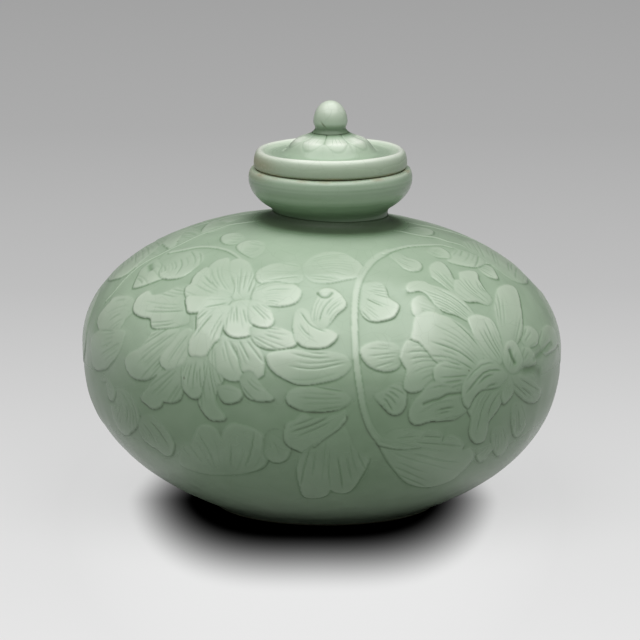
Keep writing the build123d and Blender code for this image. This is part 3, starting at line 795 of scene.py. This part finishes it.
def glaze_material():
    """Celadon over carved stoneware. One attribute gives the glaze thickness with painted shade and painted
    highlights added in, 'bare' is clay with none.
    """
    material, tree = new_material("celadon_glaze_over_stoneware")
    where = add(tree, "ShaderNodeTexCoord").outputs["Object"]
    # Glaze thickness with painted shade (higher values) and painted highlights (lower values) added in.
    glaze_and_painted_light = add(tree, "ShaderNodeAttribute", attribute_name="glaze_and_painted_light").outputs["Fac"]
    bare = add(tree, "ShaderNodeAttribute", attribute_name="bare").outputs["Fac"]
    cloud = add(tree, "ShaderNodeTexNoise", {"Vector": where, "Scale": 55.0, "Detail": 3.0}).outputs["Fac"]
    patch = add(tree, "ShaderNodeTexNoise", {"Vector": where, "Scale": 17.0, "Detail": 2.0}).outputs["Fac"]
    grain = add(tree, "ShaderNodeTexNoise", {"Vector": where, "Scale": 1500.0, "Detail": 2.0}).outputs["Fac"]
    drift = math_node(tree, "MULTIPLY", math_node(tree, "SUBTRACT", cloud, 0.5), 0.13)
    share = math_node(tree, "ADD", math_node(tree, "MULTIPLY", glaze_and_painted_light, 0.6), 0.18)
    thick = math_node(tree, "ADD", share, drift, clamp=True)
    colour = ramp(tree, thick, [(0.0, GLAZE_PALE), (0.18, GLAZE_THIN), (0.48, GLAZE_MID), (0.78, GLAZE_DEEP),
                                (1.0, GLAZE_POOLED_AND_SHADED)])
    warm = math_node(tree, "MULTIPLY", math_node(tree, "SUBTRACT", patch, 0.42, clamp=True), 0.9)
    colour = blend_colour(tree, warm, colour, (0.94, 1.0, 0.90), "MULTIPLY")
    cells = add(tree, "ShaderNodeTexVoronoi", {"Vector": where, "Scale": 190.0}, feature="DISTANCE_TO_EDGE")
    crack = math_node(tree, "LESS_THAN", cells.outputs["Distance"], 0.012)
    crack = math_node(tree, "MULTIPLY", crack, 0.10)
    colour = blend_colour(tree, crack, colour, GLAZE_DEEP)
    dots = add(tree, "ShaderNodeTexVoronoi", {"Vector": where, "Scale": 420.0}, feature="F1")
    chance = add(tree, "ShaderNodeSeparateColor", {"Color": dots.outputs["Color"]}).outputs[0]
    dot = math_node(tree, "MULTIPLY", math_node(tree, "LESS_THAN", dots.outputs["Distance"], 0.16),
                    math_node(tree, "GREATER_THAN", chance, 0.985))
    colour = blend_colour(tree, math_node(tree, "MULTIPLY", dot, 0.35), colour, (0.10, 0.09, 0.05))
    clay = ramp(tree, grain, [(0.35, STAIN), (0.6, CLAY), (0.8, (0.54, 0.50, 0.36))])
    colour = blend_colour(tree, bare, colour, clay)
    rough = math_node(tree, "ADD", math_node(tree, "MULTIPLY", cloud, 0.10), 0.17)
    rough = math_node(tree, "ADD", rough, math_node(tree, "MULTIPLY", bare, 0.5), clamp=True)
    pooled_rough = math_node(tree, "SUBTRACT", glaze_and_painted_light, 0.85, clamp=True)
    rough = math_node(tree, "ADD", rough, math_node(tree, "MULTIPLY", pooled_rough, 0.7), clamp=True)
    skin = add(tree, "ShaderNodeTexNoise", {"Vector": where, "Scale": 420.0, "Detail": 2.0}).outputs["Fac"]
    wave = add(tree, "ShaderNodeTexNoise", {"Vector": where, "Scale": 120.0, "Detail": 1.0}).outputs["Fac"]
    height = math_node(tree, "ADD", math_node(tree, "MULTIPLY", wave, 1.6), math_node(tree, "MULTIPLY", skin, 0.35))
    bump = add(tree, "ShaderNodeBump", {"Height": height, "Strength": 0.35, "Distance": 0.00012})
    shader = add(tree, "ShaderNodeBsdfPrincipled", {
        "Base Color": colour, "Roughness": rough, "IOR": 1.5, "Normal": bump.outputs["Normal"]})
    out = add(tree, "ShaderNodeOutputMaterial")
    tree.links.new(shader.outputs["BSDF"], out.inputs["Surface"])
    return material


def clay_material():
    """Unglazed fired stoneware, sandy grey-brown."""
    material, tree = new_material("bare_fired_stoneware")
    where = add(tree, "ShaderNodeTexCoord").outputs["Object"]
    blotch = add(tree, "ShaderNodeTexNoise", {"Vector": where, "Scale": 90.0, "Detail": 5.0}).outputs["Fac"]
    grain = add(tree, "ShaderNodeTexNoise", {"Vector": where, "Scale": 1800.0, "Detail": 3.0}).outputs["Fac"]
    colour = ramp(tree, blotch, [(0.35, (0.36, 0.29, 0.19)), (0.55, (0.50, 0.43, 0.31)), (0.75, (0.60, 0.54, 0.42))])
    colour = blend_colour(tree, math_node(tree, "MULTIPLY", grain, 0.5), colour, (0.28, 0.23, 0.16), "MULTIPLY")
    bump = add(tree, "ShaderNodeBump", {"Height": grain, "Strength": 0.6, "Distance": 0.00012})
    shader = add(tree, "ShaderNodeBsdfPrincipled", {
        "Base Color": colour, "Roughness": 0.78, "IOR": 1.45, "Normal": bump.outputs["Normal"]})
    out = add(tree, "ShaderNodeOutputMaterial")
    tree.links.new(shader.outputs["BSDF"], out.inputs["Surface"])
    return material


glaze = glaze_material()
clay = clay_material()


# ---------- body ----------

INNER_COLUMNS = 140
BUNCH = COLUMNS // INNER_COLUMNS
BODY_ROWS = 500
NECK_EDGE = 17.0


def start_length(r_table, h_table, len_table, turn, radius):
    """Length along the profile, per column, where it comes to this distance from the neck's axis."""
    size = np.full(len(turn), 0.0)
    low, high = np.zeros_like(size), np.full(len(turn), 40.0)
    for _ in range(30):
        mid = (low + high) / 2
        p = place(np.interp(mid, len_table, r_table), np.interp(mid, len_table, h_table), turn)
        short = np.hypot(p[:, 0] - NECK_X, p[:, 1]) < radius
        low, high = np.where(short, mid, low), np.where(short, high, mid)
    return (low + high) / 2


def foot_length(turn, height):
    """Length along the profile, per column, where it comes down to this height."""
    low, high = np.full(len(turn), body_len[-1] * 0.5), np.full(len(turn), body_len[-1] - 2)
    for _ in range(30):
        mid = (low + high) / 2
        p = place(np.interp(mid, body_len, body_r), np.interp(mid, body_len, body_h), turn)
        above = p[:, 2] > height
        low, high = np.where(above, mid, low), np.where(above, high, mid)
    return (low + high) / 2


first = start_length(body_r, body_h, body_len, phi, NECK_EDGE)
last = foot_length(phi, 0.5)
share = np.linspace(0, 1, BODY_ROWS)[:, None]
lengths = first + (last - first) * share
spot = (lengths - field_len[0]) / field_step
k = np.floor(spot).astype(int).clip(0, FIELD_ROWS - 2)
w = (spot - k).clip(0, 1)
cols = np.arange(COLUMNS)[None, :]


def sampled(field):
    return field[k, cols] * (1 - w) + field[k + 1, cols] * w


outer = place(np.interp(lengths, body_len, body_r), np.interp(lengths, body_len, body_h), phi[None, :])
normal = outward(outer)
depth = sampled(relief)
edge_fade = ((1 - share) / 0.02).clip(0, 1)
outer = outer + normal * (depth * edge_fade - SKIN)[..., None]
# Painted shade: darker below the middle of the belly, a little paler at the very foot.
belly_painted_shade = np.interp(outer[..., 2], [2, 9, 13, 18, 26, 30, 37, 42, 46, 50],
                 [-0.15, 0.12, 0.25, 0.38, 0.52, 0.53, 0.48, 0.28, 0.05, 0.0])
thinner = np.interp(outer[..., 2], [16, 30, 40, 52], [0.14, 0.07, 0.08, 0.37])
# Painted shade: a dark ring on the shoulder round the neck, under the collar.
from_axis = np.hypot(outer[..., 0] - NECK_X, outer[..., 1])
painted_shade_below_neck = 0.85 * np.exp(-((from_axis - NECK_EDGE).clip(0, None) / 3.2) ** 1.5)
# Glaze thickness over the body, with painted shade at lower petal edges, beside petals, low on the belly and round
# the neck added in.
body_glaze_and_light = (0.46 - thinner * sampled(petal) + (0.30 + 0.8 * thinner) * sampled(line) + 0.16 * sampled(pooled)
             + (0.05 + 0.3 * thinner) * sampled(hollow_pool_and_shade) + belly_painted_shade + painted_shade_below_neck)
body_bare = np.zeros_like(body_glaze_and_light)

around = np.arctan2(outer[0, :, 1], outer[0, :, 0] - NECK_X)
join_r = np.hypot(outer[0, :, 0] - NECK_X, outer[0, :, 1])
join_z = outer[0, :, 2]


def neck_ring(radius, height):
    return np.stack([NECK_X + radius * np.cos(around), radius * np.sin(around),
                     np.broadcast_to(height, around.shape)], axis=1)


fillet = []
for t in np.linspace(0, 1, 9)[:-1]:
    radius = 14.38 * (1 - t) ** 2 + 2 * t * (1 - t) * 14.45 + t ** 2 * join_r
    height = (join_z + 2.3) * (1 - t) ** 2 + 2 * t * (1 - t) * (join_z + 0.15) + t ** 2 * join_z
    fillet.append(neck_ring(radius, height))
upper_rings = [neck_ring(13.7, SEAT - 0.03), neck_ring(13.7, join_z + 1.2)] + fillet

foot_x = outer[-1, :, 0] - FOOT_X
foot_y = outer[-1, :, 1]
foot_r = np.hypot(foot_x, foot_y)
lower_rings = []
for inset, height in ((0.14, 0.22), (0.34, 0.07), (0.6, 0.01)):
    f = (foot_r - inset) / foot_r
    lower_rings.append(np.stack([FOOT_X + foot_x * f, foot_y * f, np.full(COLUMNS, height)], axis=1))

fine = np.concatenate([np.array(upper_rings), outer, np.array(lower_rings)])
fine_rows = len(fine)
above, below = len(upper_rings), len(lower_rings)
# The neck and fillet get the darkest glaze: painted shade under the collar, partly glaze pooled in the fillet.
glaze_and_light_rows = np.concatenate([np.full((above, COLUMNS), 1.3), body_glaze_and_light, np.full((below, COLUMNS), 0.7)])
bare_rows = np.concatenate([np.zeros((above + BODY_ROWS, COLUMNS)), np.full((below, COLUMNS), 0.6)])

inner_phi = phi[::BUNCH]
hollow_r, hollow_h, hollow_len = profile_table(
    HOLLOW_RADIUS, HOLLOW_RISE, HOLLOW_DROP, (SIDE_UP, AXIS_UP), (2.0, 3.0), 600)
roof = start_length(hollow_r, hollow_h, hollow_len, inner_phi, BORE)
rows_in = 34
inner_lengths = hollow_len[-1] - 1.0 + (roof - hollow_len[-1] + 1.0) * np.linspace(0, 1, rows_in)[:, None]
cavity = place(np.interp(inner_lengths, hollow_len, hollow_r),
               np.interp(inner_lengths, hollow_len, hollow_h), inner_phi[None, :])
bore_turn = np.arctan2(cavity[-1, :, 1], cavity[-1, :, 0] - NECK_X)
bore_ring = np.stack([NECK_X + BORE * np.cos(bore_turn), BORE * np.sin(bore_turn),
                      np.full(INNER_COLUMNS, SEAT - 0.03)], axis=1)
inner = np.concatenate([cavity, bore_ring[None]])
foot_turn = np.arctan2(foot_y[::BUNCH], foot_x[::BUNCH])
under = []
for radius, height in ((22.4, 0.01), (22.25, 0.35), (22.1, 1.5), (21.7, 1.8), (14.0, 1.78), (6.0, 1.75)):
    under.append(np.stack([FOOT_X + radius * np.cos(foot_turn), radius * np.sin(foot_turn),
                           np.full(INNER_COLUMNS, height)], axis=1))
under = np.array(under)

inner_pole = CENTRE - AXIS * (HOLLOW_DROP - 0.01)
under_pole = np.array([FOOT_X, 0, 1.75])
verts = np.vstack([inner.reshape(-1, 3), fine.reshape(-1, 3), under.reshape(-1, 3), [inner_pole], [under_pole]])
inner_count, fine_count = inner.shape[0] * INNER_COLUMNS, fine_rows * COLUMNS
fine_start, under_start = inner_count, inner_count + fine_count
pole_index = under_start + len(under) * INNER_COLUMNS
groups = [np.vstack([strip(i * INNER_COLUMNS, (i + 1) * INNER_COLUMNS, INNER_COLUMNS)
                     for i in range(len(inner) - 1)])]
groups.append(np.vstack([strip(fine_start + i * COLUMNS, fine_start + (i + 1) * COLUMNS, COLUMNS)
                         for i in range(fine_rows - 1)]))
groups.append(np.vstack([strip(under_start + i * INNER_COLUMNS, under_start + (i + 1) * INNER_COLUMNS,
                               INNER_COLUMNS) for i in range(len(under) - 1)]))
j = np.arange(INNER_COLUMNS)
nxt = (j + 1) % INNER_COLUMNS
bunch = (j[:, None] * BUNCH + np.arange(BUNCH + 1)[None, :]) % COLUMNS
bore_first = (len(inner) - 1) * INNER_COLUMNS
groups.append(np.hstack([(bore_first + j)[:, None], fine_start + bunch, (bore_first + nxt)[:, None]]))
end_first = fine_start + (fine_rows - 1) * COLUMNS
groups.append(np.hstack([(end_first + bunch)[:, ::-1], (under_start + j)[:, None], (under_start + nxt)[:, None]]))
groups.append(np.stack([np.full(INNER_COLUMNS, pole_index), j, nxt], axis=1))
under_last = under_start + (len(under) - 1) * INNER_COLUMNS
groups.append(np.stack([under_last + j, np.full(INNER_COLUMNS, pole_index + 1), under_last + nxt], axis=1))
glaze_and_light_all = np.concatenate([np.full(inner_count, 0.7), glaze_and_light_rows.reshape(-1),
                           np.full(len(under) * INNER_COLUMNS + 2, 0.6)])
bare_all = np.concatenate([np.full(inner_count, 0.0), bare_rows.reshape(-1),
                           np.repeat([1.0, 0.8, 0.1, 0.0, 0.0, 0.0], INNER_COLUMNS), [0.0, 0.0]])
body = build("bottle_body_carved", verts, groups, "bottle", glaze,
             {"glaze_and_painted_light": glaze_and_light_all, "bare": bare_all})
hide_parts("bottle_body")


# ---------- neck and cup ----------

def turned(name, profile, segments, closed, body_name, node, change, base_z):
    """A turned piece with its own surface: change gives depth, glaze thickness with painted shade and painted
    highlights added in, and bare clay.
    """
    rows = np.asarray(profile)
    ahead = np.roll(rows, -1, 0) - np.roll(rows, 1, 0)
    if not closed:
        ahead[0], ahead[-1] = rows[1] - rows[0], rows[-1] - rows[-2]
    ahead /= np.hypot(*ahead.T)[:, None]
    out = np.stack([-ahead[:, 1], ahead[:, 0]], axis=1)
    verts, groups, turn = lathe(rows[:, 0], rows[:, 1] + base_z, segments, closed, NECK_X)
    depth, glaze_and_painted_light, bare = change(rows[:, 0][:, None], rows[:, 1][:, None], turn[None, :])
    depth = np.broadcast_to(depth, (len(rows), segments))
    n = len(rows) * segments
    grid = verts[:n].reshape(len(rows), segments, 3)
    away = np.stack([np.broadcast_to(out[:, 0:1], depth.shape) * np.cos(turn),
                     np.broadcast_to(out[:, 0:1], depth.shape) * np.sin(turn),
                     np.broadcast_to(out[:, 1:2], depth.shape)], axis=-1)
    verts[:n] = (grid + away * depth[..., None]).reshape(-1, 3)
    extra = 0 if closed else 2
    glaze_and_painted_light = np.r_[np.broadcast_to(glaze_and_painted_light, depth.shape).reshape(-1), np.full(extra, 0.3)]
    bare = np.r_[np.broadcast_to(bare, depth.shape).reshape(-1), np.zeros(extra)]
    piece = build(name, verts, groups, body_name, glaze, {"glaze_and_painted_light": glaze_and_painted_light, "bare": bare})
    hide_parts(node)
    return piece


def bell(x, centre, width):
    return np.exp(-((x - centre) / width) ** 2)


ring_phase = rng.uniform(0, 2 * np.pi, 8)


def throwing(z, turn, spacing=1.3, depth=0.03):
    """Shallow rings that the potter's fingers leave."""
    wobble = 0.30 * np.sin(turn + ring_phase[0]) + 0.16 * np.sin(3 * turn + ring_phase[1])
    wide = 0.5 + 0.5 * np.sin(2 * np.pi * (z + wobble) / (2.7 * spacing) + ring_phase[1])
    narrow = 0.5 + 0.5 * np.sin(2 * np.pi * (z - wobble) / spacing + ring_phase[2])
    patchy = 0.5 + 0.5 * np.sin(4 * turn + 1.3 * z + ring_phase[5])
    return -depth * (1.1 * wide + 0.5 * narrow * patchy)


def collar_surface(r, z, turn):
    outside = (r > 14.0) & (z < COLLAR_HEIGHT - 0.2)
    depth = np.where(r < MOUTH + 0.05, 0.0, throwing(z, turn, 1.15, 0.035)) - 0.04
    depth = depth - 0.05 * bell(z, CUP_WIDEST - 0.1, 0.3) * (r > 18)
    depth = depth - 0.10 * bell(np.sin(1.5 * turn + 0.7), 1, 0.25) * bell(z, 13.4, 0.5) * (r > 16.5)
    height = np.broadcast_to(z, np.broadcast(r, z, turn).shape)
    # The outside of the collar darkens towards its foot, where its faces turn down: painted shade.
    down = np.interp(height, [0.0, 2.0, 4.0, 5.5, 8.0, 10.5, 12.2, 13.0], [1.15, 1.12, 1.10, 0.95, 0.70, 0.76, 0.55, 0.05])
    glaze_and_painted_light = np.where(outside, down, 0.35) - 2.5 * (depth + 0.055)
    scrap = (np.sin(5 * turn + ring_phase[3]) * np.sin(13 * turn + ring_phase[4])).clip(0, 1)
    left = bell(np.cos((turn - math.radians(190)) / 2), 1, 0.03)
    bare = (z > 13.3) * (r > MOUTH - 0.1) * (r < RIM_LAND - 0.7) * 0.9
    bare = bare + bell(z, 13.3, 0.35) * (r > RIM_LAND - 0.8) * (0.10 + 0.6 * scrap)
    bare = bare + 0.35 * left * bell(z, 12.6, 0.9) * (r > 17)
    return depth, glaze_and_painted_light, np.minimum(bare, 1.0)


collar_profile = joined(
    line_through([(NECK_ROOT, 0), (NECK_WAIST, WAIST_HEIGHT)], (NECK_WAIST - NECK_ROOT, WAIST_HEIGHT), (0, 1)),
    line_through([(NECK_WAIST, WAIST_HEIGHT), (FLARE, FLARE_HEIGHT), (CUP_RADIUS, CUP_WIDEST)], (0, 1), (0, 1)),
    line_through([(CUP_RADIUS, CUP_WIDEST), (RIM_LAND, COLLAR_HEIGHT)], (0, 1), (-1, 0)),
    straight((RIM_LAND, COLLAR_HEIGHT), (MOUTH, COLLAR_HEIGHT)),
    straight((MOUTH, COLLAR_HEIGHT), (MOUTH, MOUTH_FLOOR)),
    line_through([(MOUTH, MOUTH_FLOOR), (BORE, 2.0)], (0, -1), (0, -1), 0.4),
    straight((BORE, 2.0), (BORE, 0)),
    straight((BORE, 0), (NECK_ROOT, 0), 1.5),
)[:-1]
# The rings run down the outside, so that the faces look outwards.
collar = turned("mouth_collar_thrown", collar_profile[::-1], 480, True, "bottle", "mouth_collar",
                collar_surface, SEAT)


# ---------- lid ----------

LID_PETALS = 8


def lid_surface(r, z, turn):
    top = (z > DISH - 0.1) & (r < LID_RADIUS - LID_RIM_WIDTH + 0.2)
    depth = np.zeros(np.broadcast(r, turn).shape) - 0.03
    rim_wave = 0.06 * np.sin(2 * turn + ring_phase[5]) + 0.04 * np.sin(5 * turn + ring_phase[6])
    depth = depth + (rim_wave - 0.10) * bell(z, LID_RIM, 0.8) * (r > DISH_OUTER)
    sector = (turn * LID_PETALS / (2 * np.pi) + 0.25) % 1.0 - 0.5
    tip = 10.4 - 2.6 * np.abs(2 * sector) ** 2.2
    on_dome = (z > DISH + 0.2) & (r < 12.5) & (r > DOME_LAND - 0.1)
    outline = bell(r, tip, 0.22) * (r > 7)
    between = (bell(sector, 0.5, 0.03) + bell(sector, -0.5, 0.03)) * (r < 8.2)
    strokes = np.maximum(np.cos(2 * np.pi * sector * 6), 0) ** 10 * bell(r, 7.2, 1.3) * (np.abs(sector) < 0.30)
    lobe = (2 * np.abs(sector)) ** 2 * bell(r, 8.0, 2.2)
    cut = on_dome * (0.07 * outline + 0.12 * between + 0.12 * strokes)
    depth = depth - cut - on_dome * 0.22 * lobe - 0.02 * np.sin(7 * r) * (z > DISH - 0.1) * (r > 13)
    flat = np.broadcast_to(r, depth.shape)
    # Across the top: dark at the knob's foot, pale on the dome's slope and at the crest, mint in the dish. Glaze
    # thickness with painted shade at the knob's foot and painted highlights on dome and crest.
    lid_top_glaze_and_light = np.interp(flat, [4.6, 5.4, 6.6, 8.6, 10.2, 12.0, 14.5, 16.2, 17.0],
                       [1.30, 0.50, -0.16, -0.30, 0.26, 0.50, 0.46, 0.10, -0.28])
    height = np.broadcast_to(z, depth.shape)
    # Outer wall: darker towards the gap, pale at the crest: painted shade and painted highlight, partly glaze
    # thickness.
    lid_wall_glaze_and_light = np.interp(height, [0.0, 0.5, 1.6, 2.8, 4.0, 4.6], [1.0, 0.72, 0.62, 0.40, 0.0, -0.28])
    glaze_and_painted_light = np.where(top, lid_top_glaze_and_light + 2.6 * cut + 0.30 * lobe * on_dome, lid_wall_glaze_and_light)
    glaze_and_painted_light = np.where((z < 3.5) & (r < FLANGE_INNER + 0.5), 0.4, glaze_and_painted_light)
    scrap = (np.sin(4 * turn + ring_phase[7]) * np.sin(11 * turn + ring_phase[3])).clip(0, 1)
    left = bell(np.cos((turn - math.radians(192)) / 2), 1, 0.035)
    outer_wall = r > LID_RADIUS - 0.7
    bare = (z < 0.1) * (r > 12) * (r < LID_RADIUS - 0.6) * 1.0
    bare = bare + bell(z, 0.2, 0.35) * outer_wall * (0.25 + 0.6 * scrap)
    bare = bare + 0.55 * left * bell(z, 2.2, 1.9) * (r > LID_RADIUS - 1.7)
    bare = bare + 0.13 * bell(z, 1.5, 2.4) * (r > LID_RADIUS - 1.2)
    return depth, glaze_and_painted_light, np.minimum(bare, 1.0)


lid_profile = joined(
    line_through([(0, LID_HOLLOW), (FLANGE_INNER, 0)], (1, 0), (0, -1), 0.5),
    straight((FLANGE_INNER, 0), (LID_RADIUS - 1.3 * LID_BEVEL, 0), 0.8),
    straight((LID_RADIUS - 1.3 * LID_BEVEL, 0), (LID_RADIUS - 0.2 * LID_BEVEL, LID_BEVEL), 0.2),
    line_through([(LID_RADIUS - 0.2 * LID_BEVEL, LID_BEVEL), (LID_RADIUS, LID_WIDEST),
                  (LID_RADIUS - LID_RIM_WIDTH, LID_RIM)], (0.3, 1), (-1, 0)),
    line_through([(LID_RADIUS - LID_RIM_WIDTH, LID_RIM), (DISH_OUTER, DISH)], (-1, 0), (-1, 0)),
    straight((DISH_OUTER, DISH), (DISH_INNER, DISH), 0.2),
    line_through([(DISH_INNER, DISH), (DOME_SHOULDER, DOME_SHOULDER_HEIGHT), (DOME_LAND, DOME_TOP)],
                 (-1, 0), (-0.9, 0.7)),
    straight((DOME_LAND, DOME_TOP), (0, DOME_TOP), 0.8),
)
# Both rings of the profile start just off the axis, where a pole closes them.
lid_profile = lid_profile[1:-1][::-1]
lid = turned("lid_cover_carved", lid_profile, 640, False, "lid", "lid_cover", lid_surface, RIM)


# ---------- knob ----------

def knob_surface(r, z, turn):
    depth = -0.03 - 0.03 * np.sin(2 * turn + 1.0) * bell(z, 3.0, 2.0)
    slant = (turn - math.radians(244)) * KNOB_RADIUS - 0.8 * (2.4 - z)
    chip = bell(slant, 0, 0.22) * bell(z, 2.4, 0.65)
    depth = depth - 0.22 * chip
    height = np.broadcast_to(z, np.broadcast(r, z, turn).shape)
    # Darker at the knob's foot, paler towards its tip: painted shade and painted highlight, partly glaze thickness.
    glaze_and_painted_light = np.interp(height, [0.0, 1.3, 1.9, 2.6, 4.0, 5.6, 7.0], [1.20, 1.10, 0.72, 0.46, 0.22, -0.06, -0.12])
    return depth, glaze_and_painted_light + 0.7 * chip, 0.3 * chip


angles = np.radians(np.linspace(0, 90, 36))
bud = np.stack([KNOB_RADIUS * np.cos(angles),
                KNOB_WIDEST + (KNOB_HEIGHT - KNOB_WIDEST) * np.sin(angles)], axis=1)
knob_profile = joined(
    straight((0.3, 0), (KNOB_BASE, 0), 0.8),
    line_through([(KNOB_BASE, 0), (KNOB_WAIST, KNOB_WAIST_HEIGHT)], (-0.6, 1), (0, 1)),
    line_through([(KNOB_WAIST, KNOB_WAIST_HEIGHT), (KNOB_RADIUS, KNOB_WIDEST)], (0, 1), (0, 1)),
    bud,
)[:-1][::-1]
knob = turned("lid_knob_bud", knob_profile, 200, False, "lid", "lid_knob", knob_surface, RIM + DOME_TOP)

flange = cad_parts["lid_flange"]
for material_slot in flange.material_slots:
    material_slot.material = clay
if not flange.material_slots:
    flange.data.materials.append(clay)


# ---------- floor, light and camera ----------

def floor_material():
    """Grey studio floor, paler towards the camera, with a painted contact shadow below the bottle and a slight
    painted brightening round it.
    """
    material, tree = new_material("studio_floor")
    where = add(tree, "ShaderNodeTexCoord").outputs["Object"]
    axes = add(tree, "ShaderNodeSeparateXYZ", {"Vector": where})
    x, y = axes.outputs["X"], axes.outputs["Y"]
    far = add(tree, "ShaderNodeMapRange", {"Value": y, "From Min": -0.14, "From Max": 0.85}).outputs["Result"]
    stops = []
    for at, value in ((0.0, 230), (0.16, 221), (0.42, 193), (0.70, 176), (1.0, 169)):
        linear = ((value / 255 + 0.055) / 1.055) ** 2.4
        stops.append((at, (linear, linear, linear)))
    base = ramp(tree, far, stops)
    # Painted contact shadow: an ellipse round the foot, reaching further towards the camera than behind.
    across = math_node(tree, "ABSOLUTE", math_node(tree, "DIVIDE", math_node(tree, "ADD", x, 0.0021), 0.0410))
    along = math_node(tree, "MAXIMUM", math_node(tree, "DIVIDE", y, -0.071), math_node(tree, "DIVIDE", y, 0.055))
    q = math_node(tree, "ADD", math_node(tree, "POWER", across, 3.3), math_node(tree, "POWER", along, 1.5))
    painted_contact_shadow = add(tree, "ShaderNodeMapRange", {"Value": q, "From Min": 0.37, "From Max": 1.6},
               interpolation_type="SMOOTHSTEP").outputs["Result"]
    # Painted brightening, up to 6 percent, just outside the painted shadow.
    lift = add(tree, "ShaderNodeMapRange", {"Value": q, "From Min": 1.4, "From Max": 4.0, "To Min": 1.06,
                                            "To Max": 1.0}).outputs["Result"]
    colour = blend_colour(tree, 1.0, base, math_node(tree, "MULTIPLY", painted_contact_shadow, lift), "MULTIPLY")
    diffuse = add(tree, "ShaderNodeBsdfDiffuse", {"Color": colour})
    dim = blend_colour(tree, 1.0, base, (FLOOR_BOUNCE, FLOOR_BOUNCE, FLOOR_BOUNCE), "MULTIPLY")
    bounce = add(tree, "ShaderNodeBsdfDiffuse", {"Color": dim})
    glow = add(tree, "ShaderNodeEmission", {"Color": colour, "Strength": 1.0})
    part = add(tree, "ShaderNodeMixShader", {0: 0.8, 1: diffuse.outputs[0], 2: glow.outputs[0]})
    path = add(tree, "ShaderNodeLightPath")
    soft = add(tree, "ShaderNodeMixShader", {
        0: path.outputs["Is Diffuse Ray"], 1: diffuse.outputs[0], 2: bounce.outputs[0]})
    mirrored = math_node(tree, "MULTIPLY", path.outputs["Is Glossy Ray"], 0.5)
    seen = math_node(tree, "ADD", path.outputs["Is Camera Ray"], mirrored)
    seen = math_node(tree, "ADD", seen, path.outputs["Is Transmission Ray"], clamp=True)
    pick = add(tree, "ShaderNodeMixShader", {0: seen, 1: soft.outputs[0], 2: part.outputs[0]})
    out = add(tree, "ShaderNodeOutputMaterial")
    tree.links.new(pick.outputs[0], out.inputs["Surface"])
    return material


floor_mesh = bpy.data.meshes.new("floor")
floor_mesh.from_pydata([(-6, -6, 0), (6, -6, 0), (6, 6, 0), (-6, 6, 0)], [], [(0, 1, 2, 3)])
floor_mesh.materials.append(floor_material())
floor = bpy.data.objects.new("floor", floor_mesh)
bpy.context.scene.collection.objects.link(floor)

world = bpy.data.worlds.new("soft_studio")
world.use_nodes = True
bpy.context.scene.world = world
sky = world.node_tree.nodes["Background"]
sky.inputs["Color"].default_value = (1.0, 1.0, 1.0, 1.0)
sky.inputs["Strength"].default_value = WORLD_LIGHT


def area_light(name, place_at, target, size, energy):
    data = bpy.data.lights.new(name, "AREA")
    data.shape = "DISK"
    data.size = size
    data.energy = energy
    lamp = bpy.data.objects.new(name, data)
    lamp.location = place_at
    aim = np.array(target) - np.array(place_at)
    lamp.rotation_euler = (math.acos(-aim[2] / np.linalg.norm(aim)), 0,
                           math.atan2(aim[1], aim[0]) - math.pi / 2)
    bpy.context.scene.collection.objects.link(lamp)


area_light("overhead_softbox", (0, -0.35, 1.35), (0, 0, 0.05), 2.4, TOP_LIGHT)

scene = bpy.context.scene
camera_data = bpy.data.cameras.new("camera")
camera_data.sensor_width = 36.0
camera_data.lens = 36.0 * CAMERA_DISTANCE * PIXELS_PER_MM / IMAGE_SIZE
camera_data.clip_start = 0.1
camera_data.clip_end = 50.0
camera = bpy.data.objects.new("camera", camera_data)
camera.location = (TARGET_X * MM, -CAMERA_DISTANCE * math.cos(CAMERA_ELEVATION) * MM,
                   (TARGET_Z + CAMERA_DISTANCE * math.sin(CAMERA_ELEVATION)) * MM)
camera.rotation_euler = (math.pi / 2 - CAMERA_ELEVATION, 0, 0)
scene.collection.objects.link(camera)
scene.camera = camera
scene.view_settings.view_transform = "Standard"
